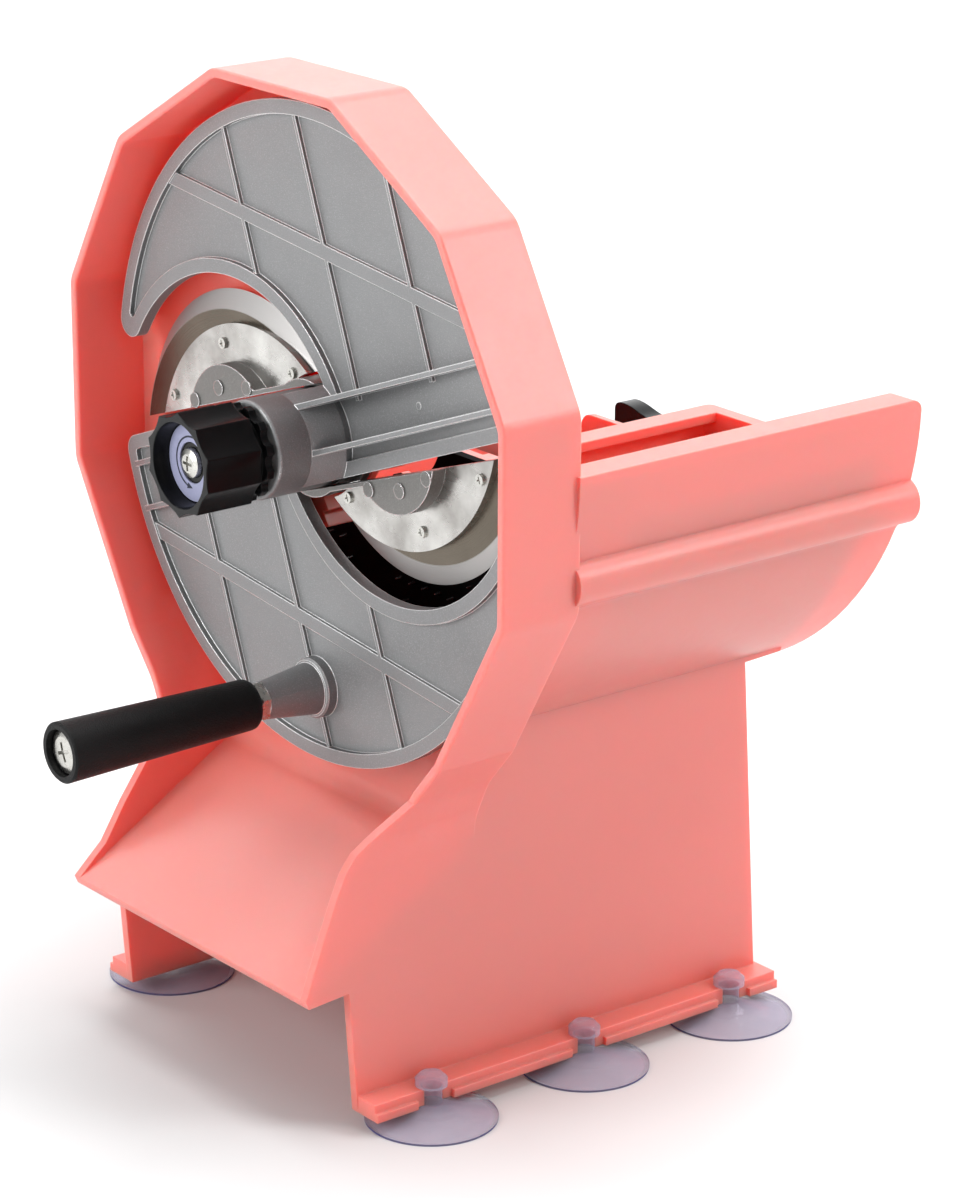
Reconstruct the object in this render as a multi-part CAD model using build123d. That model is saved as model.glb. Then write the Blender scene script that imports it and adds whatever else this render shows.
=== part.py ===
"""Hand-cranked disc slicer: moulded housing on suction cups, cast cutting disc with two
crescent windows, blade holder behind it, thickness knob, crank grip and a sliding pusher.

Working frame while modelling: the disc's axis is the line x = 0, z = 0, depth y grows
from the ring's front rim (y = 0) towards the rear of the trough, and z points up.
All pieces are moved to the resting frame (centre of the footprint, on the table) at the end.
"""
from build123d import *
import os
from math import cos, hypot, radians, sin, sqrt

# ---------------------------------------------------------------- driving dimensions (mm)
# ring and rear wall of the housing
WALL = 4.0                  # moulded wall
RING_SIDES = 12
RING_DEPTH = 37.0           # front rim to the back of the rear wall
RING_ROUND = 12.0           # outer rounding between two flats
REAR_WALL = 3.5
RIM_FILLET = 1.2

# base and chute
BASE_HALF = 82.0            # axis to the outside of each leg wall
NECK_FLARE = 9.0            # how much wider than the legs the ring's lower end is
NECK_RISE = 21.0            # height of that end above the ring's lowest reach
NECK_HEIGHT = 19.0          # height over which it narrows to the legs
NECK_ROUND = 30.0
LEG_FRONT = -21.5           # front edge of the legs at their foot
LEG_REAR = 190.0            # rear edge of the legs at their foot
LEG_REAR_TOP = 180.0
LIP_FRONT = -46.5           # front of the discharge chute
CHUTE_DROP = 7.0            # from the shoulder down to the chute floor at the rear wall
LIP_DROP = 55.5             # from the shoulder down to the lip
FOOT_DROP = 54.5            # from the lip down to the underside of the legs
CHUTE_FLOOR = 3.5
CHUTE_ROUND = 10.0          # hollow rounding between the floor and the rear wall

# ledges and suction cups
LEDGE_OUT = 13.0            # how far a ledge stands out from its leg
LEDGE_THICK = 7.0
LEDGE_STEP = 2.0            # the upper half of a ledge is this much narrower
CUP_OUT = 9.5               # leg face to cup centre
CUP_FIRST_Y = 8.0
CUP_PITCH = 79.5
CUP_COUNT = 3               # on each side
CUP_R = 27.0
CUP_DROP = 7.0              # ledge underside to table
CUP_NECK_R = 4.4
CUP_BUTTON_R = 6.6
CUP_BUTTON_H = 5.0

# trough
TROUGH_BEYOND = 2.0         # the round floor's radius is this much more than the ring's
TROUGH_Z = 17.0             # centre of that arc, above the disc's axis
TROUGH_REAR = 212.5
PANEL_TOP = 15.2
PANEL_FLANGE = 3.5
PANEL_LIP = 10.0            # how far the panel's top flange stands inwards
PANEL_CORNER = 5.0          # rear upper corner of each side panel
GROOVE_INSET = 1.2          # centre of the guide groove to the trough's outside
GROOVE_Z = -28.5
GROOVE_R = 6.3
GROOVE_FAIR = 8.0           # rounding from the groove's ridge into the floor
FEED_INSIDE = 4.0           # the feed opening's radius is this much less than the disc's
FEED_TOP = 13.0
FEED_LEDGE = ((-58.0, -64.0), (-118.0, -98.0))      # lower left edge of the feed opening

# shaft line
SHAFT_R = 6.0
STUD_R = 5.0                # threaded front end of the shaft
BOSS_R = 19.0
BOSS_REAR = 62.0
BOSS_RIB = 10.0             # how far its ribs stand out
BOSS_RIB_STEP = 12.0        # how far they end before the boss does
BUSH_R = 8.5
BUSH_FLANGE = 1.0
BUSH_FLANGE_R = 12.0
RUN = 0.04                  # radial clearance of running fits
FIT = 0.02                  # radial gap of seated fits
TOUCH = 0.1                 # axial gap between parts that rub
SLACK = 0.3                 # gap between parts that only pass each other

# cutting disc (drawn with its arm level, then turned to the rest angle)
REST_ANGLE = 21.0
DISC_R = 135.0
DISC_GAP = 6.0              # from its rim to the ring
FEED_TRAVEL = 5.0           # how far it slides back from the thickest slice
DISC_RIM_FRONT = 17.5
DISC_FRONT = 20.0           # front of the web
DISC_BACK = 23.0
DISC_BORDER = 6.0           # raised border along every edge
WINDOW_BEYOND = 2.0         # the window's circle passes this far outside the disc
WINDOW_Z = -3.0
WINDOW_R = 79.0
ARM_HALF = 18.8
TIP_FILLET = 7.0
RIB_FRONT = 18.4
RIB_WIDTH = 1.8
RIB_PITCH = 50.0
RIB_FIRST = -13.0
RIB_COUNT = 3
BAND_WIDTH = 6.0
BAND_INSET = 57.0           # rim to the centre line of the slanting band
BAND_SLOPE = -27.0
ARM_RIB_FRONT = 2.0         # front of the tall ribs at the hub
ARM_RIB_TIP = 17.5          # and at the rim
ARM_RIB_WIDTH = 2.2
ARM_RIBS = (12.5, -6.8)     # heights of the two tall ribs on the arm
HUB_R = 20.2
HUB_FRONT = -11.5
HUB_ROUND = 1.4
HUB_FLARE_R = 25.5
HUB_FLARE_START = 4.0
SPRING_POCKET_R = 12.2
SPRING_POCKET_FRONT = 8.0
CRANK_INSET = 30.0          # rim to the crank handle's axis
CRANK_ANGLE = -110.0        # where the handle boss stands, from the arm
HANDLE_BOSS_R = 10.8
HANDLE_BOSS_TIP_R = 7.6
HANDLE_BOSS_FRONT = -9.5
HANDLE_COLLAR_R = 12.6      # stepped foot of the boss on the disc
HANDLE_COLLAR = 5.0

# blades and their holder, behind the disc
SLICE_MAX = 5.5             # disc back face to blade edge at rest
BLADE_INSET = 2.5           # disc's rim to the cutting edge
BLADE_Z = -3.0
BLADE_R = 71.5
BLADE_THICK = 2.4
BEVEL_SHIFT = -4.0          # centre of the bevel's front circle, from the blade's
BEVEL_Z = -8.0
BEVEL_R = 69.0
CLAMP_SHIFT = 7.0           # centre of the clamp's circle, from the blade's
CLAMP_Z = -12.4
CLAMP_R = 66.0
CLAMP_THICK = 2.8
HOLDER_EDGE = 20.6          # straight edge of the blade pack, above the axis
HOLDER_SLOPE = 2.2          # degrees that the straight edge falls away from the arm
HOLDER_NECK = 3.0           # width of the neck from the hub's ear to the pad
HOLDER_FRONT = 16.5
PAD_Z = 11.0
PAD_R = 27.0
HOLDER_HUB_R = 24.0
EYE_R = 25.2                # round clearance in clamp and blade about the holder's hub
KEY = 3.0
DRIVE_PIN_R = 2.5
DRIVE_PIN_AT = 16.0
BLADE_SCREW_R = 1.4
BLADE_SCREW_HEAD_R = 2.3
BLADE_SCREW_HEAD = 1.1
BLADE_SCREWS = ((-44.0, 31.0), (0.5, 46.0), (44.2, 26.7))       # from the clamp's centre
RIVET_R = 3.2
RIVETS = ((-19.0, 26.2), (0.0, 28.5), (20.0, 25.4))             # from the clamp's centre

# spring, knob and its screw
SPRING_R = 9.6              # mean radius
SPRING_WIRE = 0.8           # wire radius
SPRING_TURNS = 5
KNOB_R = 21.4
KNOB_LENGTH = 32.3
KNOB_LOBES = 10             # ridges, with shallow flutes between them
KNOB_FLUTE_R = 20.0
KNOB_TIP = 0.15             # how much the ridges are blunted
KNOB_BODY = 25.6            # length of the fluted part
KNOB_NECK_R = 16.4
COLLAR_R = 19.6             # scalloped collar at the knob's rear
COLLAR_LENGTH = 3.3
COLLAR_LOBES = 12
COLLAR_FLUTE_R = 4.0
COLLAR_FLUTE = 2.1          # depth of each scallop
KNOB_RECESS_R = 17.3
KNOB_RECESS_DRAFT = 1.5     # the recess narrows this much to its floor
KNOB_RECESS = 7.2
WASHER_THICK = 1.6
WASHER_R = 14.0
INSERT_R = 8.0
LABEL_GAP = 0.3
LABEL_THICK = 0.6
KNOB_SCREW_HEAD_R = 6.2
KNOB_SCREW_HEAD = 2.8
KNOB_SCREW_R = 2.5
KNOB_SCREW_LENGTH = 13.0

# crank grip
GRIP_FRONT_R = 12.4
GRIP_REAR_R = 10.5
GRIP_LENGTH = 91.0
GRIP_ROUND = 3.0            # rounding of its rear end
GRIP_RECESS_R = 9.5
GRIP_RECESS = 4.0
BOLT_R = 4.0
BOLT_HEAD_R = 8.9
BOLT_HEAD = 2.4
NUT_FLATS = 15.0
NUT_THICK = 4.4

# stop fin on the rear wall
FIN_DEPTH = 18.0
FIN_TEETH = 4
FIN_TOOTH = 7.0
FIN_TIP_X = -9.0
FIN_ROOT_X = -13.0
FIN_BACK_X = -28.0
FIN_TOP_Z = -16.0
FIN_CLEAR = 3.0             # room for it in the pusher

# pusher
PUSHER_FACE_Y = 64.0        # plane of the spiked plate's front
FACE_THICK = 4.0
SPIKE_H = 3.6
SPIKE_R = 1.6
SPIKE_ROW_FIRST = 15.0      # eye to the first row
SPIKE_ROW_PITCH = 20.0
SPIKE_SPACING = 19.0
SPIKE_EDGE = 4.0            # least distance from the plate's rim
SLIDE_GAP = 0.8             # between pusher and trough
PUSHER_EYE_R = 26.0
PUSHER_TOP = -7.0
PUSHER_WALL = 4.0
PUSHER_REAR = 193.0
PUSHER_REAR_WALL = 7.0
POCKET_RIGHT = 42.5         # inner wall of the right side pocket
POCKET_LEFT = 60.0          # and of the left one
POCKET_FLANGE = 11.5
POCKET_FLOOR = -48.0
POCKET_CORNER = 3.0
DECK_Z = -60.0
RAIL_REACH = 5.0            # how far a rail's tongue stands beyond the groove's centre
RAIL_H = 6.0
LUG_HALF = 20.5             # upright plate in front of the black grip
LUG_FRONT = 176.0
LUG_THICK = 3.0
LUG_TOP = -22.0
LUG_CORNER = 6.0
REAR_WALL_TOP = -34.0
HANDLE_HALF = 18.5
HANDLE_THICK = 8.5
HANDLE_TOP = -21.8          # in the middle
HANDLE_WAVE = 2.5           # how much higher its two humps are
HANDLE_HUMP = 13.3
HANDLE_CORNER = 4.0
HANDLE_SCREW_UP = 13.0      # deck to the grip's screw
PUSHER_SCREW_R = 2.5
PUSHER_SCREW_HEAD_R = 4.5
PUSHER_SCREW_ANGLES = (-160.0, -120.0, -60.0, -20.0)
PUSHER_SCREW_INSET = 30.2   # pusher's outline radius to the ring of screws

# ---------------------------------------------------------------- derived places
RING_APOTHEM = DISC_R + DISC_GAP + WALL
NECK_HALF = BASE_HALF + NECK_FLARE
NECK_Z = NECK_RISE - RING_APOTHEM
SHOULDER_Z = NECK_Z - NECK_HEIGHT
CHUTE_TOP_Z = SHOULDER_Z - CHUTE_DROP
LIP_Z = SHOULDER_Z - LIP_DROP
BASE_BOTTOM = LIP_Z - FOOT_DROP
TROUGH_R = RING_APOTHEM + TROUGH_BEYOND
GROOVE_X = sqrt((TROUGH_R - GROOVE_INSET) ** 2 - (TROUGH_Z - GROOVE_Z) ** 2)
FEED_R = DISC_R - FEED_INSIDE
WINDOW_X = WINDOW_R - DISC_R - WINDOW_BEYOND
BLADE_X = BLADE_R + BLADE_INSET - DISC_R
BEVEL_X = BLADE_X + BEVEL_SHIFT
CLAMP_X = BLADE_X + CLAMP_SHIFT
REAR_WALL_FRONT = RING_DEPTH - REAR_WALL
BLADE_BACK = DISC_BACK + SLICE_MAX
BLADE_FRONT = BLADE_BACK - BLADE_THICK
CLAMP_FRONT = BLADE_FRONT - CLAMP_THICK
HOLDER_HUB_FRONT = BLADE_BACK + SLACK
BUSH_FRONT = REAR_WALL_FRONT - BUSH_FLANGE
HOLDER_HUB_BACK = BUSH_FRONT - TOUCH
BUSH_SPLIT = (REAR_WALL_FRONT + BOSS_REAR) / 2
SHAFT_WASHER_FRONT = BOSS_REAR + BUSH_FLANGE + TOUCH
CLIP_FRONT = SHAFT_WASHER_FRONT + BUSH_FLANGE + TOUCH
SHAFT_END = CLIP_FRONT + BUSH_FLANGE + 2.0
WASHER_FRONT = HUB_FRONT - WASHER_THICK - FIT
KNOB_BACK = WASHER_FRONT - TOUCH
KNOB_FRONT = KNOB_BACK - KNOB_LENGTH
KNOB_FLOOR = KNOB_FRONT + KNOB_RECESS
STUD_END = KNOB_FLOOR + SLACK
STUD_SHOULDER = KNOB_BACK + FEED_TRAVEL + SLACK
LABEL_R = KNOB_RECESS_R - KNOB_RECESS_DRAFT - LABEL_GAP
NUT_FRONT = HANDLE_BOSS_FRONT - NUT_THICK - FIT
GRIP_BACK = NUT_FRONT - TOUCH
GRIP_FRONT = GRIP_BACK - GRIP_LENGTH
BOLT_SEAT = GRIP_FRONT + GRIP_RECESS - TOUCH
PUSHER_R = TROUGH_R - WALL - SLIDE_GAP
CUP_X = BASE_HALF + CUP_OUT
TABLE_Z = BASE_BOTTOM - CUP_DROP
FACE_BACK = PUSHER_FACE_Y + FACE_THICK
HANDLE_BACK = PUSHER_REAR + HANDLE_THICK
HANDLE_SCREW_Z = DECK_Z + HANDLE_SCREW_UP
DEPTH_MIDDLE = (GRIP_FRONT + TROUGH_REAR) / 2


# ---------------------------------------------------------------- drawing helpers
def slab(drawing, front, back):
    """Solid between two depths of a drawing made in x and z."""
    return extrude(Plane.XZ.offset(-front) * drawing, amount=back - front, dir=(0, 1, 0))


def across(points, x_from, x_to):
    """Solid between two x planes of an outline given as (y, z) points."""
    outline = Plane.YZ.offset(x_from) * Polygon(*points, align=None)
    return extrude(outline, amount=x_to - x_from, dir=(1, 0, 0))


def block(x, y, z):
    """Box between pairs of limits."""
    size = (x[1] - x[0], y[1] - y[0], z[1] - z[0])
    middle = ((x[0] + x[1]) / 2, (y[0] + y[1]) / 2, (z[0] + z[1]) / 2)
    return Pos(*middle) * Box(*size)


def turned(points, x=0.0, z=0.0):
    """Solid of revolution about a line along y, from (radius, y) points."""
    outline = Polygon(*points, align=None)
    return Pos(x, 0, z) * revolve(outline, Axis.Y)


def rod(radius, front, back, x=0.0, z=0.0):
    """Round bar along y."""
    return slab(Pos(x, z) * Circle(radius), front, back)


def mirrored(shape):
    """The shape with its mirror image on the other side of the axis plane."""
    return shape + mirror(shape, Plane.YZ)


def at_rest(shape):
    """Turn a piece of the rotating group from arm-level to its angle at rest."""
    return Rot(0, -REST_ANGLE, 0) * shape


def group(*solids):
    """Separate solids kept in one node."""
    return Part() + list(solids)


def half_plane(z_low, z_high, half=200.0):
    """Wide band of the drawing between two heights."""
    return Pos(0, (z_low + z_high) / 2) * Rectangle(2 * half, z_high - z_low)


# ---------------------------------------------------------------- housing
def front_outline():
    """Outline of ring, neck and legs, seen from the front."""
    step = 360 / RING_SIDES
    corner_r = RING_APOTHEM / cos(radians(step / 2))
    angles = [radians(90 - step / 2 - step * n) for n in range(RING_SIDES // 2 - 1)]
    right = [(BASE_HALF, BASE_BOTTOM - 30), (BASE_HALF, SHOULDER_Z), (NECK_HALF, NECK_Z)]
    right += [(corner_r * cos(a), corner_r * sin(a)) for a in reversed(angles)]
    left = [(-x, z) for x, z in reversed(right)]
    outline = Sketch() + Polygon(*right, *left, align=None)
    outline = fillet(outline.vertices().filter_by_position(Axis.Y, NECK_Z + 1, corner_r), RING_ROUND)
    neck = outline.vertices().filter_by_position(Axis.Y, SHOULDER_Z - 1, NECK_Z + 0.01)
    return fillet(neck, NECK_ROUND)


def chute_edge(side):
    """Front edge of one side wall, from the ring down to the chute's lip, as (y, z) points."""
    lip = (LIP_FRONT, LIP_Z)
    if side > 0:
        drops = [(-22, 0), (-27, 7), (-32, 18), (-39.5, 37)]
        return [(0, NECK_Z)] + [(y, SHOULDER_Z - drop) for y, drop in drops] + [lip]
    drops = [(0, -3), (-10, 9), (-23, 27), (-33, 43)]
    return [(y, SHOULDER_Z - drop) for y, drop in drops] + [lip]


def side_profile(side):
    """Everything of one half of the front shell, seen from the side."""
    ring_top = RING_APOTHEM + 5
    lip_under = [(LIP_FRONT + 1.5, LIP_Z - CHUTE_FLOOR), (LEG_FRONT - 4, LIP_Z - 2)]
    foot = [(LEG_FRONT, BASE_BOTTOM), (RING_DEPTH, BASE_BOTTOM)]
    return [(RING_DEPTH, ring_top), (0, ring_top), *chute_edge(side), *lip_under, *foot]


def front_shell():
    """Ring wall, neck, chute walls and the front of the legs in one shell."""
    outer = front_outline()
    inner = offset(outer, -WALL, kind=Kind.INTERSECTION)
    tube = slab(outer - inner, LIP_FRONT - 5, RING_DEPTH)
    right = tube & across(side_profile(1), 0, RING_APOTHEM + 5)
    left = tube & across(side_profile(-1), -RING_APOTHEM - 5, 0)
    return right + left


def trough_arc(inset):
    """Round outline of the trough, drawn in by an inset."""
    return Pos(0, TROUGH_Z) * Circle(TROUGH_R - inset)


def feed_opening():
    """Outline of the opening in the rear wall through which the food meets the disc."""
    low, far = -FEED_R - WALL, FEED_R + WALL
    left = [(FIN_ROOT_X, FIN_TOP_Z - FIN_TEETH * FIN_TOOTH), *FEED_LEDGE, (FEED_LEDGE[-1][0], low)]
    right = [(far, low), (far, FEED_TOP), (FIN_ROOT_X, FEED_TOP)]
    reach = Circle(FEED_R) & trough_arc(WALL + 1)
    return (reach & Polygon(*left, *right, align=None)) - Circle(BOSS_R + 5)


def rear_wall():
    """Wall that closes the ring behind the disc, with the feed opening."""
    outline = offset(front_outline(), -WALL / 2, kind=Kind.INTERSECTION)
    closed = outline & half_plane(CHUTE_TOP_Z - CHUTE_FLOOR, RING_APOTHEM)
    return slab(closed - feed_opening(), REAR_WALL_FRONT, RING_DEPTH)


def boss():
    """Bearing boss with its ribs on the rear wall."""
    reach = BOSS_R + BOSS_RIB
    left = Pos(-reach / 2, 0) * Rectangle(reach, WALL)
    top = Pos(0, reach / 2) * Rectangle(WALL, reach)
    ribs = slab(left + top, REAR_WALL_FRONT, BOSS_REAR - BOSS_RIB_STEP)
    return rod(BOSS_R, REAR_WALL_FRONT, BOSS_REAR) + ribs


def stop_fin():
    """Toothed fin beside the boss that keeps the food from turning with the disc."""
    teeth = []
    for step in range(FIN_TEETH):
        root_z = FIN_TOP_Z - step * FIN_TOOTH
        teeth += [(FIN_ROOT_X, root_z), (FIN_TIP_X, root_z - 0.8 * FIN_TOOTH)]
    bottom = FIN_TOP_Z - FIN_TEETH * FIN_TOOTH
    outline = [(FIN_BACK_X, FIN_TOP_Z), *teeth, (FIN_ROOT_X, bottom), (FIN_BACK_X, bottom + 6)]
    return slab(Polygon(*outline, align=None), REAR_WALL_FRONT, REAR_WALL_FRONT + FIN_DEPTH)


def trough():
    """Round-floored feed trough with upright panels and guide grooves."""
    outer = trough_arc(0) & half_plane(-2 * TROUGH_R, PANEL_TOP)
    inner = trough_arc(WALL) & half_plane(-2 * TROUGH_R, PANEL_TOP - PANEL_FLANGE)
    inner += trough_arc(WALL + PANEL_LIP) & half_plane(0, PANEL_TOP + 1)
    for side in (-1, 1):
        outer += Pos(side * GROOVE_X, GROOVE_Z) * Circle(GROOVE_R + 0.85 * WALL)
        inner += Pos(side * GROOVE_X, GROOVE_Z) * Circle(GROOVE_R)
    ridge_low = outer.vertices().filter_by_position(Axis.Y, GROOVE_Z - 2 * GROOVE_R - WALL, GROOVE_Z)
    outer = fillet(ridge_low, GROOVE_FAIR)
    body = slab(outer - inner, RING_DEPTH - REAR_WALL / 2, TROUGH_REAR)
    rear_corners = body.edges().filter_by(Axis.X).group_by(Axis.Z)[-1].group_by(Axis.Y)[-1]
    return fillet(rear_corners, PANEL_CORNER)


def leg_walls():
    """Side walls of the base behind the ring, up to the trough's floor."""
    top = TROUGH_Z - sqrt((TROUGH_R - WALL / 2) ** 2 - BASE_HALF ** 2)
    start = RING_DEPTH - REAR_WALL
    outline = [(start, BASE_BOTTOM), (LEG_REAR, BASE_BOTTOM), (LEG_REAR_TOP, top), (start, top)]
    tab = [(LEG_REAR_TOP - 5, top - 5), (LEG_REAR_TOP + 20, top - 4), (LEG_REAR_TOP + 22, top), (start, top)]
    wall = across(outline, BASE_HALF - WALL, BASE_HALF) + across(tab, BASE_HALF - WALL, BASE_HALF)
    return mirrored(wall - slab(trough_arc(WALL / 2), 0, TROUGH_REAR))


def chute_floor():
    """Sloping floor on which the slices leave."""
    half = BASE_HALF - WALL / 2
    wall_y = REAR_WALL_FRONT + 1
    slope = (CHUTE_TOP_Z - LIP_Z) / (wall_y - LIP_FRONT)
    meeting = (REAR_WALL_FRONT, CHUTE_TOP_Z - slope)
    top_line = [(wall_y, CHUTE_TOP_Z + CHUTE_ROUND), (REAR_WALL_FRONT, CHUTE_TOP_Z + CHUTE_ROUND), meeting]
    under = [(LIP_FRONT + 1.5, LIP_Z - CHUTE_FLOOR), (wall_y, CHUTE_TOP_Z - CHUTE_FLOOR - 0.5)]
    floor = across([*top_line, (LIP_FRONT, LIP_Z), *under], -half, half)
    corner = floor.edges().filter_by(Axis.X).sort_by_distance((0, *meeting))[0]
    return fillet(corner, CHUTE_ROUND)


def cup_places():
    """Centre of every suction cup."""
    return [(side * CUP_X, CUP_FIRST_Y + CUP_PITCH * n) for side in (-1, 1) for n in range(CUP_COUNT)]


def ledges():
    """Stepped ledges along the feet, with slots for the cups' necks."""
    y = (LEG_FRONT, LEG_REAR + 1.5)
    split = BASE_BOTTOM + LEDGE_THICK / 2
    wide = (BASE_HALF - WALL / 2, BASE_HALF + LEDGE_OUT)
    narrow = (wide[0], wide[1] - LEDGE_STEP)
    lower = block(wide, y, (BASE_BOTTOM, split))
    upper = block(narrow, y, (split, BASE_BOTTOM + LEDGE_THICK))
    both = mirrored(lower + upper)
    for x, y_cup in cup_places():
        side = 1 if x > 0 else -1
        neck = Pos(x, y_cup, BASE_BOTTOM) * Cylinder(CUP_NECK_R + SLACK, 4 * LEDGE_THICK)
        mouth = block((0, LEDGE_OUT), (-CUP_NECK_R - SLACK, CUP_NECK_R + SLACK), (-10, 20))
        step = block((LEDGE_OUT - CUP_OUT - LEDGE_STEP, LEDGE_OUT), (-9, 9), (-10, LEDGE_THICK / 2))
        cut = mouth + step
        if side < 0:
            cut = mirror(cut, Plane.YZ)
        both = both - neck - Pos(x, y_cup, BASE_BOTTOM) * cut
    return both


def housing():
    """The one-piece moulding that carries everything."""
    body = front_shell() + rear_wall() + boss() + stop_fin() + trough()
    body = body + leg_walls() + chute_floor() + ledges()
    body = body - rod(BUSH_R + FIT, 0, BOSS_REAR + 5)
    rim = body.edges().filter_by_position(Axis.Y, -0.01, 0.01)
    rim = rim.filter_by_position(Axis.Z, NECK_Z + 5, RING_APOTHEM + 1)
    return fillet(rim, RIM_FILLET)


# ---------------------------------------------------------------- shaft line
def bush_front():
    """Flanged bearing bush at the disc side."""
    flange = rod(BUSH_FLANGE_R, BUSH_FRONT - FIT, REAR_WALL_FRONT)
    return flange + rod(BUSH_R, BUSH_FRONT, BUSH_SPLIT - SLACK) - rod(SHAFT_R + RUN, 0, BOSS_REAR)


def bush_rear():
    """Flanged bearing bush at the trough side."""
    flange = rod(BUSH_FLANGE_R, BOSS_REAR, BOSS_REAR + BUSH_FLANGE)
    body = rod(BUSH_R, BUSH_SPLIT + SLACK, BOSS_REAR + FIT) + flange
    return body - rod(SHAFT_R + RUN, 0, BOSS_REAR + 5)


def key_block(gap):
    """Key between shaft and blade holder, or with a gap its keyway."""
    half = KEY / 2 + gap
    depth = (HOLDER_HUB_FRONT + TOUCH - gap, HOLDER_HUB_BACK - TOUCH + gap)
    return block((-half, half), depth, (SHAFT_R - half, SHAFT_R + half))


def main_shaft():
    """Shaft through the bushes, with the knob's stud, keyway and clip groove."""
    body = rod(SHAFT_R, STUD_SHOULDER, SHAFT_END) + rod(STUD_R, STUD_END, STUD_SHOULDER + 1)
    groove = rod(SHAFT_R + 1, CLIP_FRONT, CLIP_FRONT + BUSH_FLANGE + FIT) - rod(SHAFT_R - 1, 0, 80)
    screw_hole = rod(KNOB_SCREW_R + FIT, KNOB_FRONT, KNOB_FLOOR + KNOB_SCREW_LENGTH + 1)
    return body - groove - screw_hole - key_block(FIT)


def shaft_washer():
    """Thrust washer behind the rear bush."""
    ring = rod(BUSH_FLANGE_R - 1, SHAFT_WASHER_FRONT, SHAFT_WASHER_FRONT + BUSH_FLANGE)
    return ring - rod(SHAFT_R + RUN, 0, 80)


def shaft_clip():
    """Open retaining clip in the shaft's groove."""
    ring = rod(SHAFT_R + 3.5, CLIP_FRONT + FIT, CLIP_FRONT + BUSH_FLANGE) - rod(SHAFT_R - 1 + FIT, 0, 80)
    mouth = block((-3, 3), (0, 80), (-20, 0))
    return ring - mouth


# ---------------------------------------------------------------- cutting disc
def disc_outline(inset=0.0):
    """The disc from the front, two crescent halves joined by arms, drawn in by an inset."""
    above = half_plane(ARM_HALF - inset, 2 * DISC_R)
    window = Pos(WINDOW_X, WINDOW_Z) * Circle(WINDOW_R + inset) & above
    outline = Circle(DISC_R - inset) - window - Rot(0, 0, 180) * window
    tips = [v for v in outline.vertices() if Vector(v.X, v.Y).length > DISC_R - inset - 1]
    return fillet(tips, max(TIP_FILLET - inset, RIB_WIDTH))


def disc_ribs(outline):
    """Low ribs that divide each half of the disc into panels."""
    lines = Sketch()
    for n in range(RIB_COUNT):
        lines += Pos(RIB_FIRST + n * RIB_PITCH, DISC_R / 2 + ARM_HALF / 2) * Rectangle(RIB_WIDTH, DISC_R)
    band_angle = radians(90 + BAND_SLOPE)
    distance = DISC_R - BAND_INSET
    middle = Pos(distance * cos(band_angle), distance * sin(band_angle))
    lines += middle * Rot(0, 0, BAND_SLOPE) * Rectangle(2 * DISC_R, BAND_WIDTH)
    lines = lines & outline
    return lines + Rot(0, 0, 180) * lines


def arm_ribs():
    """Tall twin ribs that stiffen the arms, lower towards the rim."""
    length = DISC_R - DISC_BORDER / 2
    web = DISC_FRONT + FIT
    side = Polygon((0, ARM_RIB_FRONT), (length, ARM_RIB_TIP), (length, web), (0, web), align=None)
    ribs = Part()
    for height in ARM_RIBS:
        outline = Plane.XY.offset(height - ARM_RIB_WIDTH / 2) * side
        ribs += extrude(outline, amount=ARM_RIB_WIDTH, dir=(0, 0, 1))
    ribs = ribs & rod(length, ARM_RIB_FRONT - 1, DISC_BACK)
    return ribs + Rot(0, 180, 0) * ribs


def hub():
    """Hub collar that flares into the arms, flat where the blade holder passes."""
    collar = rod(HUB_R, HUB_FRONT, DISC_BACK)
    collar = fillet(collar.edges().group_by(Axis.Y)[0], HUB_ROUND)
    flare_points = [(0, HUB_FLARE_START), (HUB_R, HUB_FLARE_START), (HUB_FLARE_R, DISC_FRONT - 3)]
    flare = turned([*flare_points, (HUB_FLARE_R, DISC_BACK), (0, DISC_BACK)])
    flats = block((-DISC_R, DISC_R), (HUB_FLARE_START - 1, DISC_BACK + 1), (-ARM_HALF, ARM_HALF))
    return collar + (flare & flats)


def crank_place():
    """Where the crank handle stands on the arm-level disc."""
    radius = DISC_R - CRANK_INSET
    return (radius * cos(radians(CRANK_ANGLE)), radius * sin(radians(CRANK_ANGLE)))


def handle_boss(x, z):
    """Tapered boss on a stepped foot, on which the crank handle is bolted."""
    step = DISC_FRONT - HANDLE_COLLAR
    cone = [(0, HANDLE_BOSS_FRONT), (HANDLE_BOSS_TIP_R, HANDLE_BOSS_FRONT), (HANDLE_BOSS_R, step)]
    foot = [(HANDLE_COLLAR_R - 0.8, step), (HANDLE_COLLAR_R, step + 0.8), (HANDLE_COLLAR_R, DISC_FRONT + 1)]
    return turned([*cone, *foot, (0, DISC_FRONT + 1)], x, z)


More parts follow.
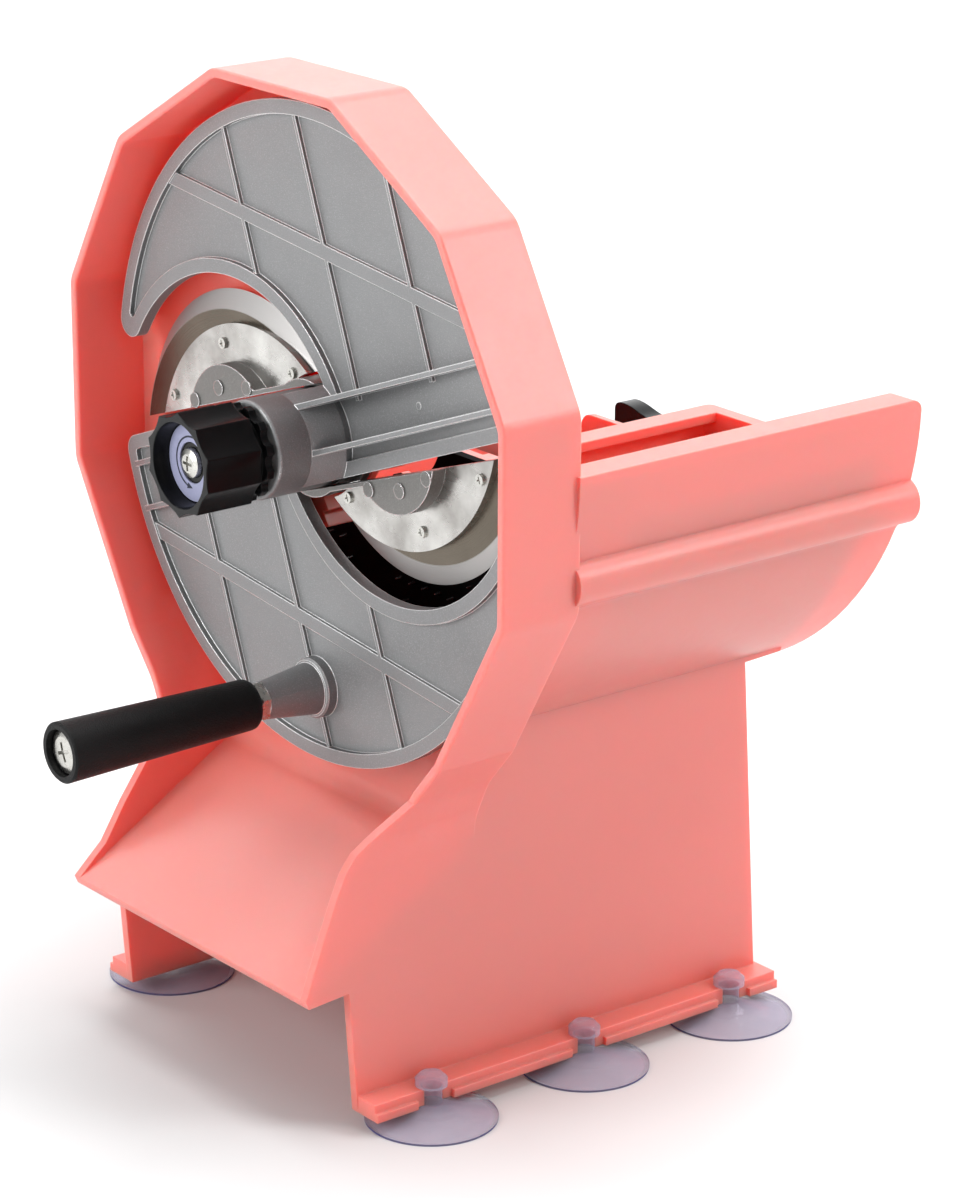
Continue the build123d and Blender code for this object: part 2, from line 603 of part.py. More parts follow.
def cutting_disc():
    """Cast disc that is turned by the crank and slides on the shaft to set the slice."""
    recess = disc_outline(DISC_BORDER)
    body = slab(disc_outline(), DISC_RIM_FRONT, DISC_BACK) - slab(recess, DISC_RIM_FRONT - 1, DISC_FRONT)
    ribs = disc_ribs(disc_outline(DISC_BORDER / 2))
    body = body + slab(ribs, RIB_FRONT, DISC_FRONT + FIT) + arm_ribs() + hub()
    x, z = crank_place()
    body = body + handle_boss(x, z)
    body = body - rod(BOLT_R + FIT, HANDLE_BOSS_FRONT - 1, DISC_BACK - 2, x, z)
    body = body - rod(SHAFT_R + RUN, HUB_FRONT - 1, DISC_BACK + 1)
    body = body - rod(SPRING_POCKET_R, SPRING_POCKET_FRONT, DISC_BACK + 1)
    for side in (-1, 1):
        pin_hole = SPRING_POCKET_FRONT - FEED_TRAVEL - SLACK
        body = body - rod(DRIVE_PIN_R + RUN, pin_hole, DISC_BACK + 1, side * DRIVE_PIN_AT)
    return at_rest(body)


# ---------------------------------------------------------------- blade group
def above_edge():
    """Region of the drawing beyond the straight edge of a blade pack."""
    region = Pos(0, 100) * Rectangle(400, 200)
    return Pos(0, HOLDER_EDGE) * Rot(0, 0, -HOLDER_SLOPE) * region


def screw_holes(places, radius):
    """Through holes along y at places given from the clamp's centre line."""
    return Part() + [rod(radius, 0, RING_DEPTH, CLAMP_X + x, z) for x, z in places]


def clamp_plate():
    """Polished half-moon that clamps one blade to the holder."""
    outline = (Pos(CLAMP_X, CLAMP_Z) * Circle(CLAMP_R) & above_edge()) - Circle(EYE_R)
    plate = slab(outline, CLAMP_FRONT, BLADE_FRONT)
    holes = screw_holes(BLADE_SCREWS, BLADE_SCREW_R + FIT) + screw_holes(RIVETS, RIVET_R / 2 + FIT)
    return plate - holes


def blade():
    """Crescent blade with a wide front bevel that ends in the cutting edge."""
    base = Plane.XZ.offset(-BLADE_FRONT) * Pos(BEVEL_X, BEVEL_Z) * Circle(BEVEL_R)
    edge = Plane.XZ.offset(-BLADE_BACK) * Pos(BLADE_X, BLADE_Z) * Circle(BLADE_R)
    body = loft([base, edge], ruled=True)
    keep = slab(above_edge() - Circle(EYE_R), BLADE_FRONT - 1, BLADE_BACK + 1)
    return (body & keep) - screw_holes(BLADE_SCREWS, BLADE_SCREW_R + FIT)


def blade_holder():
    """Casting behind the disc: hub on the shaft, and a pad that reaches forward to each blade."""
    region = above_edge()
    ear = slab(Circle(HOLDER_HUB_R) & region, HOLDER_FRONT, HOLDER_HUB_BACK)
    neck = Pos(CLAMP_X / 2, HOLDER_EDGE) * Rot(0, 0, -HOLDER_SLOPE) * Rectangle(-CLAMP_X, 2 * HOLDER_NECK)
    pad = slab((Pos(CLAMP_X, PAD_Z) * Circle(PAD_R) + neck) & region, HOLDER_FRONT, CLAMP_FRONT)
    side = ear + pad - screw_holes(RIVETS, RIVET_R / 2 + FIT)
    body = rod(HOLDER_HUB_R, HOLDER_HUB_FRONT, HOLDER_HUB_BACK) + side + Rot(0, 180, 0) * side
    body = body - rod(SHAFT_R + FIT, 0, RING_DEPTH) - key_block(FIT)
    for pin_side in (-1, 1):
        body = body - rod(DRIVE_PIN_R + FIT, 0, RING_DEPTH, pin_side * DRIVE_PIN_AT)
    return at_rest(body)


def blade_screws():
    """Pan-head screws, three for each blade."""
    screws = []
    for along, z in BLADE_SCREWS:
        x = CLAMP_X + along
        head = rod(BLADE_SCREW_HEAD_R, CLAMP_FRONT - BLADE_SCREW_HEAD, CLAMP_FRONT, x, z)
        head = head - block((x - 1.4, x + 1.4), (CLAMP_FRONT - 2, CLAMP_FRONT - 0.5), (z - 0.3, z + 0.3))
        head = head - block((x - 0.3, x + 0.3), (CLAMP_FRONT - 2, CLAMP_FRONT - 0.5), (z - 1.4, z + 1.4))
        screws.append(head + rod(BLADE_SCREW_R, CLAMP_FRONT - FIT, BLADE_BACK, x, z))
    screws += [Rot(0, 180, 0) * screw for screw in screws]
    return at_rest(group(*screws))


def holder_rivets():
    """Rivets that hold the clamp plates to the casting's pads."""
    rivets = []
    for along, z in RIVETS:
        x = CLAMP_X + along
        head = rod(RIVET_R, HOLDER_FRONT - 0.6, HOLDER_FRONT, x, z)
        rivets.append(head + rod(RIVET_R / 2, HOLDER_FRONT - FIT, BLADE_FRONT, x, z))
    rivets += [Rot(0, 180, 0) * rivet for rivet in rivets]
    return at_rest(group(*rivets))


def drive_pins():
    """Dowels that carry the crank's torque from the disc to the holder."""
    front = SPRING_POCKET_FRONT
    pins = [rod(DRIVE_PIN_R, front, HOLDER_HUB_BACK - TOUCH, side * DRIVE_PIN_AT) for side in (-1, 1)]
    return at_rest(group(*pins))


def disc_spring():
    """Coil spring that pushes the disc forward against the knob."""
    length = HOLDER_HUB_FRONT - SPRING_POCKET_FRONT - 2 * SPRING_WIRE - 2 * TOUCH
    path = Helix(length / SPRING_TURNS, length, SPRING_R, direction=(0, 1, 0))
    start = path @ 0
    section = Plane(origin=start, z_dir=path % 0) * Circle(SPRING_WIRE)
    coil = sweep(section, path=path)
    return Pos(0, SPRING_POCKET_FRONT + SPRING_WIRE + TOUCH, 0) * coil


# ---------------------------------------------------------------- knob
def fluted_outline(radius, lobes, flute_r):
    """Round outline whose flutes pass through evenly spaced ridges."""
    corner = radians(180 / lobes)
    flute_at = radius * cos(corner) + sqrt(flute_r ** 2 - (radius * sin(corner)) ** 2)
    outline = Circle(radius - KNOB_TIP)
    for n in range(lobes):
        outline -= Rot(0, 0, 360 * n / lobes) * Pos(flute_at, 0) * Circle(flute_r)
    return outline


def scalloped_outline(radius, lobes, flute_r, depth):
    """Round outline with evenly spaced hollows of the given depth."""
    outline = Circle(radius)
    for n in range(lobes):
        outline -= Rot(0, 0, 360 * n / lobes) * Pos(radius - depth + flute_r, 0) * Circle(flute_r)
    return outline


def adjusting_knob():
    """Fluted knob that sets the slice thickness, with a scalloped collar at its rear."""
    body_end = KNOB_FRONT + KNOB_BODY
    collar_front = KNOB_BACK - COLLAR_LENGTH
    body = slab(fluted_outline(KNOB_R, KNOB_LOBES, KNOB_FLUTE_R), KNOB_FRONT, body_end)
    neck = rod(KNOB_NECK_R, body_end - 1, collar_front + 1)
    collar_outline = scalloped_outline(COLLAR_R, COLLAR_LOBES, COLLAR_FLUTE_R, COLLAR_FLUTE)
    collar = slab(collar_outline, collar_front, KNOB_BACK)
    floor_r = KNOB_RECESS_R - KNOB_RECESS_DRAFT
    recess = turned([(0, KNOB_FRONT), (KNOB_RECESS_R, KNOB_FRONT), (floor_r, KNOB_FLOOR), (0, KNOB_FLOOR)])
    return body + neck + collar - recess - rod(INSERT_R + FIT, KNOB_FRONT, KNOB_BACK + 1)


def knob_insert():
    """Threaded sleeve inside the knob that runs on the shaft's stud."""
    return rod(INSERT_R, KNOB_FLOOR, KNOB_BACK) - rod(STUD_R + RUN, KNOB_FRONT, KNOB_BACK + 1)


def knob_label():
    """Plain ring in the knob's recess that shows which way to turn."""
    return rod(LABEL_R, KNOB_FLOOR - LABEL_THICK, KNOB_FLOOR) - rod(INSERT_R + SLACK, KNOB_FRONT, KNOB_BACK)


def thrust_washer():
    """Washer between knob and hub."""
    return rod(WASHER_R, WASHER_FRONT, HUB_FRONT - FIT) - rod(SHAFT_R + RUN, KNOB_FRONT, KNOB_BACK + 10)


def knob_screw():
    """Pan-head cross-slot screw in the end of the stud, the knob's stop."""
    under = KNOB_FLOOR - SLACK
    top = under - KNOB_SCREW_HEAD
    dome = [(0, top), (KNOB_SCREW_HEAD_R * 0.6, top + 0.3), (KNOB_SCREW_HEAD_R * 0.93, top + 1.2)]
    head = turned([*dome, (KNOB_SCREW_HEAD_R, under), (0, under)])
    depth = (top - 1, top + 1.4)
    cross = block((-3, 3), depth, (-0.6, 0.6)) + block((-0.6, 0.6), depth, (-3, 3))
    return head - cross + rod(KNOB_SCREW_R, under - FIT, KNOB_FLOOR + KNOB_SCREW_LENGTH)


# ---------------------------------------------------------------- crank handle
def handle_bolt():
    """Long bolt on which the grip turns."""
    x, z = crank_place()
    head_front = BOLT_SEAT - BOLT_HEAD
    dome = [(0, head_front), (BOLT_HEAD_R * 0.7, head_front + 0.4), (BOLT_HEAD_R, head_front + 1.3)]
    head = turned([*dome, (BOLT_HEAD_R, BOLT_SEAT), (0, BOLT_SEAT)])
    cross = block((-4, 4), (head_front - 1, head_front + 1.5), (-0.7, 0.7))
    cross += block((-0.7, 0.7), (head_front - 1, head_front + 1.5), (-4, 4))
    body = head - cross + rod(BOLT_R, BOLT_SEAT - FIT, DISC_BACK - 2.5)
    return at_rest(Pos(x, 0, z) * body)


def handle_nut():
    """Lock nut between the disc's boss and the grip."""
    x, z = crank_place()
    outline = RegularPolygon(NUT_FLATS / 2, 6, major_radius=False)
    nut = slab(outline, NUT_FRONT, HANDLE_BOSS_FRONT - FIT)
    chamfered = turned([(0, NUT_FRONT), (NUT_FLATS / 2, NUT_FRONT), (NUT_FLATS / 2 + 1.6, NUT_FRONT + 1.2),
                        (NUT_FLATS / 2 + 1.6, 0), (0, 0)])
    return at_rest(Pos(x, 0, z) * ((nut & chamfered) - rod(BOLT_R + FIT, NUT_FRONT - 1, 0)))


def handle_grip():
    """Tapered black grip that turns on the bolt."""
    x, z = crank_place()
    turns = [radians(angle) for angle in (0, 22, 45, 68, 90)]
    rear = [(GRIP_REAR_R - GRIP_ROUND * (1 - cos(turn)), GRIP_BACK - GRIP_ROUND * (1 - sin(turn)))
            for turn in turns]
    rear.append((0, GRIP_BACK))
    front = [(0, GRIP_FRONT), (GRIP_FRONT_R - 0.8, GRIP_FRONT), (GRIP_FRONT_R, GRIP_FRONT + 0.8)]
    body = turned([*front, *rear])
    body = body - rod(GRIP_RECESS_R, GRIP_FRONT - 1, GRIP_FRONT + GRIP_RECESS)
    return at_rest(Pos(x, 0, z) * (body - rod(BOLT_R + RUN, GRIP_FRONT - 1, GRIP_BACK + 1)))


# ---------------------------------------------------------------- pusher
def fin_slot():
    """Left, right and lower end of the slot that passes the stop fin."""
    low = FIN_TOP_Z - FIN_TEETH * FIN_TOOTH
    return FIN_BACK_X - FIN_CLEAR, FIN_TIP_X + FIN_CLEAR, low - FIN_CLEAR


def pusher_outline():
    """Half ring that fits the trough, with room for boss and fin."""
    disc = trough_arc(WALL + SLIDE_GAP) - Circle(PUSHER_EYE_R)
    ring = disc & half_plane(-2 * PUSHER_R, PUSHER_TOP)
    left, right, low = fin_slot()
    return ring - Pos((left + right) / 2, low / 2) * Rectangle(right - left, -low)


def spike_places():
    """Rows of spikes on arcs about the axis, clear of the plate's rim, eye and fin slot."""
    places = []
    radius = PUSHER_EYE_R + SPIKE_ROW_FIRST
    while radius < PUSHER_R:
        count = int(radius * 2.5 / SPIKE_SPACING)
        angles = [radians(-180 + 180 * (n + 0.5) / count) for n in range(count)]
        places += [(radius * cos(angle), radius * sin(angle)) for angle in angles]
        radius += SPIKE_ROW_PITCH
    slot_left, slot_right, slot_low = fin_slot()
    kept = []
    for x, z in places:
        on_plate = hypot(x, z - TROUGH_Z) < PUSHER_R - SPIKE_EDGE and z < PUSHER_TOP - 2 * SPIKE_R
        by_slot = slot_left - SPIKE_EDGE < x < slot_right + SPIKE_EDGE and z > slot_low - SPIKE_EDGE
        if on_plate and not by_slot:
            kept.append((x, z))
    return kept


def plate_screw_places():
    """Places of the screws that hold the spiked plate."""
    radius = PUSHER_R - PUSHER_SCREW_INSET
    return [(radius * cos(radians(angle)), radius * sin(radians(angle))) for angle in PUSHER_SCREW_ANGLES]


def pusher_face():
    """Spiked plate that holds the food."""
    plate = slab(pusher_outline(), PUSHER_FACE_Y, FACE_BACK)
    front = PUSHER_FACE_Y - SPIKE_H
    spikes = [turned([(0, front), (SPIKE_R, PUSHER_FACE_Y + FIT), (0, PUSHER_FACE_Y + FIT)], x, z)
              for x, z in spike_places()]
    holes = [rod(PUSHER_SCREW_R + FIT, front, FACE_BACK + 1, x, z) for x, z in plate_screw_places()]
    return plate + spikes - holes


def pusher_pocket(inside, region):
    """Pocket between an upright wall and the trough, drawn on the right."""
    y = (FACE_BACK, PUSHER_REAR)
    inner_wall = block((inside, inside + PUSHER_WALL), y, (DECK_Z, PUSHER_TOP))
    flange = block((inside, inside + POCKET_FLANGE), y, (PUSHER_TOP - PUSHER_WALL, PUSHER_TOP))
    floor = block((inside, PUSHER_R), y, (POCKET_FLOOR - PUSHER_WALL, POCKET_FLOOR))
    rear_y = (PUSHER_REAR - PUSHER_REAR_WALL, PUSHER_REAR)
    rear = block((inside, PUSHER_R), rear_y, (POCKET_FLOOR - PUSHER_WALL, PUSHER_TOP))
    pocket = (inner_wall + flange + floor + rear) & region
    corner = pocket.edges().filter_by(Axis.Z).group_by(Axis.X)[0].group_by(Axis.Y)[-1]
    return fillet(corner, POCKET_CORNER)


def rail():
    """Tongue that runs in the trough's guide groove."""
    low = GROOVE_Z - RAIL_H / 2
    inside = GROOVE_X - GROOVE_R
    return block((inside, GROOVE_X + RAIL_REACH), (FACE_BACK, PUSHER_REAR), (low, low + RAIL_H))


def pusher_lug():
    """Round-cornered upright plate in front of the grip."""
    outline = Sketch() + Pos(0, (DECK_Z + LUG_TOP) / 2) * Rectangle(2 * LUG_HALF, LUG_TOP - DECK_Z)
    outline = fillet(outline.vertices().group_by(Axis.Y)[-1], LUG_CORNER)
    return slab(outline, LUG_FRONT, LUG_FRONT + LUG_THICK)


def pusher_carriage():
    """Moulded carriage that slides in the trough and carries plate and handle."""
    arc = trough_arc(WALL + SLIDE_GAP) & half_plane(-2 * PUSHER_R, PUSHER_TOP)
    region = slab(arc, FACE_BACK, PUSHER_REAR)
    shell = arc - trough_arc(WALL + SLIDE_GAP + PUSHER_WALL)
    body = slab(shell, FACE_BACK, PUSHER_REAR) + slab(pusher_outline(), FACE_BACK, FACE_BACK + PUSHER_WALL)
    body = body + mirrored(rail()) + pusher_pocket(POCKET_RIGHT, region)
    body = body + mirror(pusher_pocket(POCKET_LEFT, region), Plane.YZ)
    width = (-POCKET_LEFT - 1, POCKET_RIGHT + 1)
    deck = block(width, (FACE_BACK, PUSHER_REAR), (DECK_Z, DECK_Z + PUSHER_WALL))
    rear = block(width, (PUSHER_REAR - PUSHER_WALL, PUSHER_REAR), (DECK_Z, REAR_WALL_TOP))
    spine = block((-PUSHER_WALL / 2, PUSHER_WALL / 2), (FACE_BACK, PUSHER_REAR), (-PUSHER_R, DECK_Z + 1))
    body = body + deck + rear + (spine & region) + pusher_lug()
    for x, z in plate_screw_places():
        body = body - rod(PUSHER_SCREW_R + FIT, FACE_BACK - 1, FACE_BACK + PUSHER_WALL + 1, x, z)
    return body - rod(PUSHER_SCREW_R + FIT, PUSHER_REAR - PUSHER_WALL - 1, PUSHER_REAR + 1, 0, HANDLE_SCREW_Z)


def pusher_screws():
    """Screws that hold the spiked plate from the front."""
    screws = []
    for x, z in plate_screw_places():
        head = rod(PUSHER_SCREW_HEAD_R, PUSHER_FACE_Y - 2, PUSHER_FACE_Y, x, z)
        head = head - block((x - 3, x + 3), (PUSHER_FACE_Y - 3, PUSHER_FACE_Y - 1), (z - 0.5, z + 0.5))
        screws.append(head + rod(PUSHER_SCREW_R, PUSHER_FACE_Y - FIT, FACE_BACK + PUSHER_WALL, x, z))
    return group(*screws)


def pusher_handle():
    """Black grip behind the carriage, with two humps on its top."""
    hump = HANDLE_TOP + HANDLE_WAVE
    side_top = hump - HANDLE_CORNER
    wave = Spline((-HANDLE_HALF, side_top), (-HANDLE_HUMP, hump), (0, HANDLE_TOP), (HANDLE_HUMP, hump),
                  (HANDLE_HALF, side_top), tangents=((0, 1), (0, -1)))
    low = DECK_Z + PUSHER_WALL
    right = [(HANDLE_HALF, side_top), (HANDLE_HALF, low)]
    sides = Polyline(*right, (-HANDLE_HALF, low), (-HANDLE_HALF, side_top))
    plate = slab(make_face([wave, sides]), PUSHER_REAR, HANDLE_BACK)
    return plate - rod(PUSHER_SCREW_R + FIT, PUSHER_REAR - 1, HANDLE_BACK + 1, 0, HANDLE_SCREW_Z)


def pusher_handle_screw():
    """Screw that holds the black grip to the carriage's rear wall."""
    back, z = HANDLE_BACK, HANDLE_SCREW_Z
    head = rod(PUSHER_SCREW_HEAD_R, back, back + 2.5, 0, z)
    slot = block((-3, 3), (back + 1.3, back + 3), (z - 0.5, z + 0.5))
    return head - slot + rod(PUSHER_SCREW_R, PUSHER_REAR - PUSHER_WALL, back + FIT, 0, z)


# ---------------------------------------------------------------- suction cups
def suction_cup():
    """Soft cup with a thin dish, a neck and a button that snaps over the ledge."""
    neck_top = CUP_DROP + LEDGE_THICK + 2 * TOUCH
    dish = [(CUP_R - 2, 0), (CUP_R, 0), (CUP_R, 0.9), (CUP_R * 0.72, 2.6), (CUP_R * 0.42, 4.7)]
    neck = [(CUP_NECK_R + 1, CUP_DROP - TOUCH), (CUP_NECK_R, CUP_DROP - TOUCH), (CUP_NECK_R, neck_top)]
    button_top = neck_top + CUP_BUTTON_H
    button = [(CUP_BUTTON_R, neck_top), (CUP_BUTTON_R, button_top - 2), (CUP_BUTTON_R * 0.7, button_top)]
    hollow = [(0, button_top), (0, 3.6), (CUP_R * 0.42, 2.9), (CUP_R * 0.72, 1.2)]
    outline = Plane.XZ * Polygon(*dish, *neck, *button, *hollow, align=None)
    return revolve(outline, Axis.Z)


# ---------------------------------------------------------------- all pieces
PIECES = {
    "housing": housing(),
    "bush_front": bush_front(),
    "bush_rear": bush_rear(),
    "main_shaft": at_rest(main_shaft()),
    "shaft_key": at_rest(key_block(0)),
    "shaft_washer": shaft_washer(),
    "shaft_clip": shaft_clip(),
    "blade_holder": blade_holder(),
    "blade_upper": at_rest(blade()),
    "blade_lower": at_rest(Rot(0, 180, 0) * blade()),
    "clamp_plate_upper": at_rest(clamp_plate()),
    "clamp_plate_lower": at_rest(Rot(0, 180, 0) * clamp_plate()),
    "blade_screws": blade_screws(),
    "holder_rivets": holder_rivets(),
    "drive_pins": drive_pins(),
    "cutting_disc": cutting_disc(),
    "disc_spring": disc_spring(),
    "thrust_washer": thrust_washer(),
    "adjusting_knob": adjusting_knob(),
    "knob_insert": knob_insert(),
    "knob_label": knob_label(),
    "knob_screw": knob_screw(),
    "handle_bolt": handle_bolt(),
    "handle_nut": handle_nut(),
    "handle_grip": handle_grip(),
    "pusher_carriage": pusher_carriage(),
    "pusher_face": pusher_face(),
    "pusher_screws": pusher_screws(),
    "pusher_handle": pusher_handle(),
    "pusher_handle_screw": pusher_handle_screw(),
}
for number, (cup_x, cup_y) in enumerate(cup_places(), start=1):
    PIECES[f"suction_cup_{number}"] = Pos(cup_x, cup_y, TABLE_Z) * suction_cup()

to_resting_frame = Pos(0, -DEPTH_MIDDLE, -TABLE_Z)
os.makedirs("parts", exist_ok=True)
for name, piece in PIECES.items():
    export_step(to_resting_frame * piece, f"parts/{name}.step")
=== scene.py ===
# %% [markdown]
# # A hand-cranked disc slicer
# The machine's exact solids come from a CAD model that is loaded first. Everything after that
# is about looks: moulded pink plastic, die-cast aluminium, ground blades, a gloss black knob
# and clear violet suction cups, plus the small repeated details that a casting or a moulding
# shows up close. All lengths are in metres, and the part stands on z = 0.

# %% Load the frame
import math

import bpy
from mathutils import Matrix, Vector


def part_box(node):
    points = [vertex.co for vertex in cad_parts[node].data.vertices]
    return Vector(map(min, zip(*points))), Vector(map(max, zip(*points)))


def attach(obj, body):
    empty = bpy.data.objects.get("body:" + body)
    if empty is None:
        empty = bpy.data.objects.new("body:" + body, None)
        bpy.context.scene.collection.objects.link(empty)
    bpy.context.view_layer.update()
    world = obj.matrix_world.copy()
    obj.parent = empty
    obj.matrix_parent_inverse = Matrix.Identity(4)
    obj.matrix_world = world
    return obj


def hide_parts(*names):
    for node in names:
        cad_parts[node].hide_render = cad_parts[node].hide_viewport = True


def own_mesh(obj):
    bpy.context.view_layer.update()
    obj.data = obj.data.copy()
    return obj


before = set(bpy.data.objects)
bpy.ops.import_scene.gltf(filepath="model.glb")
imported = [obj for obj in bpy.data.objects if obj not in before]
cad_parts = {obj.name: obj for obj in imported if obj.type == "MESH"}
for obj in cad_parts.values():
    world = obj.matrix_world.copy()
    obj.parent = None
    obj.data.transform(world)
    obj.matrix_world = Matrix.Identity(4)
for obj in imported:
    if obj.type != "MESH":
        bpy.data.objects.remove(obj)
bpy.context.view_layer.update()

# %% [markdown]
# ## Where things are
# The crank's axis runs along Y. Its place could be typed in, but it is read from the solids,
# because the shaft is centred on it and a detail then always sits on what carries it. The
# disc's front face lies one wall's thickness in front of its back.

# %% Places read from the solids
shaft_low, shaft_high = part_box("main_shaft")
AXIS_X = (shaft_low.x + shaft_high.x) / 2
AXIS_Z = (shaft_low.z + shaft_high.z) / 2
DISC_THICKNESS = 0.003
DISC_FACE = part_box("cutting_disc")[1].y - DISC_THICKNESS
print("axis at x", round(AXIS_X, 5), "z", round(AXIS_Z, 5), "disc face at y", round(DISC_FACE, 5))

# %% [markdown]
# ## Camera
# The photograph was matched: the ring's twelve corners, the disc and the chute fix the
# camera's direction, distance and lens. A long lens flattens the perspective a little. A
# Track To constraint could aim the camera, but the match also gave a slight roll, so the
# camera's own axes are worked out and written into its matrix.

# %% Camera
CAMERA_AZIMUTH = math.radians(51.37)
CAMERA_ELEVATION = math.radians(18.70)
CAMERA_ROLL = 0.00424
CAMERA_PLACE = (1.2584, -0.95244, 0.7185)
LENS_MM = 122.2
SENSOR_MM = 36.0


def put_in_scene(name, data):
    """Make an object that shows the data and link it to the scene."""
    made = bpy.data.objects.new(name, data)
    bpy.context.collection.objects.link(made)
    return made


forward = Vector((-math.sin(CAMERA_AZIMUTH) * math.cos(CAMERA_ELEVATION),
                  math.cos(CAMERA_AZIMUTH) * math.cos(CAMERA_ELEVATION),
                  -math.sin(CAMERA_ELEVATION)))
side = forward.cross(Vector((0, 0, 1))).normalized()
top = side.cross(forward)
right_edge = side * math.cos(CAMERA_ROLL) + top * math.sin(CAMERA_ROLL)
up_edge = top * math.cos(CAMERA_ROLL) - side * math.sin(CAMERA_ROLL)

lens = bpy.data.cameras.new("camera")
lens.lens = LENS_MM
lens.sensor_width = SENSOR_MM
camera = put_in_scene("camera", lens)
rows = [(right_edge[n], up_edge[n], -forward[n], CAMERA_PLACE[n]) for n in range(3)]
camera.matrix_world = Matrix((*rows, (0, 0, 0, 1)))
bpy.context.scene.camera = camera
print("camera at", CAMERA_PLACE, "with a lens of", LENS_MM, "mm")

# %% [markdown]
# ## Studio lamps
# The photograph is a product shot on white. The tops of the ring's facets are pale and its
# upright sides are full pink, so most light came from a wide source overhead, a little
# behind, and the rest from the white floor and the room. A large area lamp could be that
# source, but it fades with distance. A sun lamp with a very wide disc is as strong at the
# floor's edge as in the middle, and its shadows are soft.
#
# Satin plastic also mirrors a little, so each pale sheen in the photograph tells where a wide
# lamp stood: mirror the view about the surface's normal and look along it. That gives one
# lamp low behind for the top edges, one right behind for the slanting facets, and one on the
# left for the chute's floor. A fourth one in front lights the inside of the ring.

# %% Lamps
OVERHEAD_STRENGTH = 3.9
OVERHEAD_WIDTH = math.radians(50)
OVERHEAD_AIM = (0.0, -0.30, -1)

# Name, place, the spot it points at, side of its square, and watts.
AREA_LAMPS = (
    ("light_behind", (-2.2, 1.7, 1.25), (0, 0, 0.35), 1.6, 12),
    ("light_right", (1.75, 1.35, 1.65), (0.1, 0, 0.3), 0.9, 30),
    ("light_left", (-1.9, -0.45, 1.8), (0, -0.1, 0.1), 1.3, 17),
    ("light_front", (-0.5, -2.1, 1.05), (0, 0, 0.15), 1.3, 39),
)


def pointed_lamp(name, kind, power, direction, place=(0, 0, 0)):
    """A lamp that shines along a direction."""
    lamp = bpy.data.lights.new(name, kind)
    lamp.energy = power
    carrier = put_in_scene(name, lamp)
    carrier.location = place
    carrier.rotation_euler = Vector(direction).to_track_quat("-Z", "Y").to_euler()
    return lamp


overhead = pointed_lamp("light_overhead", "SUN", OVERHEAD_STRENGTH, OVERHEAD_AIM)
overhead.angle = OVERHEAD_WIDTH
for name, place, aim, size, watts in AREA_LAMPS:
    square = pointed_lamp(name, "AREA", watts, Vector(aim) - Vector(place), place)
    square.size = size
print("lamps", 1 + len(AREA_LAMPS))

# %% [markdown]
# ## Room and view
# The room is an even pale grey, dimmer than the lamps, so that metal has something to mirror.
# A picture of a studio could light the scene as well, but plain grey is the same from all
# sides. The Standard view keeps strong pinks as they are, where the default one would grey
# them.

# %% Room and view
ROOM_COLOUR = (0.97, 0.98, 1.0, 1)
ROOM_STRENGTH = 0.40

room = bpy.data.worlds.new("room")
bpy.context.scene.world = room
room.use_nodes = True
room.node_tree.nodes["Background"].inputs["Color"].default_value = ROOM_COLOUR
room.node_tree.nodes["Background"].inputs["Strength"].default_value = ROOM_STRENGTH
bpy.context.scene.view_settings.view_transform = "Standard"
print("room strength", ROOM_STRENGTH)

# %% [markdown]
# ## Floor
# The machine stands on a plain pale surface without an edge in sight. One very large square
# does that with four points. It belongs to the stage and not to the part.

# %% Floor
FLOOR_HALF = 60

floor_mesh = bpy.data.meshes.new("floor")
quarters = ((-1, -1), (1, -1), (1, 1), (-1, 1))
floor_corners = [(x * FLOOR_HALF, y * FLOOR_HALF, 0) for x, y in quarters]
floor_mesh.from_pydata(floor_corners, [], [(0, 1, 2, 3)])
floor = put_in_scene("floor", floor_mesh)
print("floor", 2 * FLOOR_HALF, "metres wide")

# %% [markdown]
# ## Shader maths as plain expressions
# A material is a graph of nodes. Written out by hand, each sum needs a node, two links and a
# setting. The class below wraps one socket and overloads the arithmetic operators, so that
# `1 - mask * 0.3` builds the Math nodes by itself.

# %% Sockets that can be added and multiplied
class Wire:
    """One output socket of a material, usable in arithmetic."""

    def __init__(self, finish, socket):
        self.finish = finish
        self.socket = socket

    def _math(self, operation, first, second, clamp=False):
        settings = {"operation": operation, "use_clamp": clamp}
        return self.finish.node("ShaderNodeMath", settings, {0: first, 1: second})

    def __add__(self, other):
        return self._math("ADD", self, other)

    __radd__ = __add__

    def __sub__(self, other):
        return self._math("SUBTRACT", self, other)

    def __rsub__(self, other):
        return self._math("SUBTRACT", other, self)

    def __mul__(self, other):
        return self._math("MULTIPLY", self, other)

    __rmul__ = __mul__

    def __pow__(self, other):
        return self._math("POWER", self, other)

    def clamped(self):
        """The same value, kept between 0 and 1."""
        return self._math("ADD", self, 0.0, clamp=True)

    def smooth(self, low, high):
        """0 below low, 1 above high, and an even ramp between."""
        return self._math("DIVIDE", self - low, high - low, clamp=True)


print("arithmetic on sockets is ready")

# %% [markdown]
# ## One material under construction
# `Finish` starts a material from the standard surface shader. Its method `node` makes any
# kind of node, and the short methods after it name the few that nearly every finish needs.
# All patterns are laid out in Object coordinates, so they need no unwrapped faces and stay on
# the piece when it moves.

# %% A material that builds its own nodes
NOISE_ROUGHNESS = 0.55
BEVEL_SAMPLES = 6
EDGE_BEND = (0.01, 0.10)


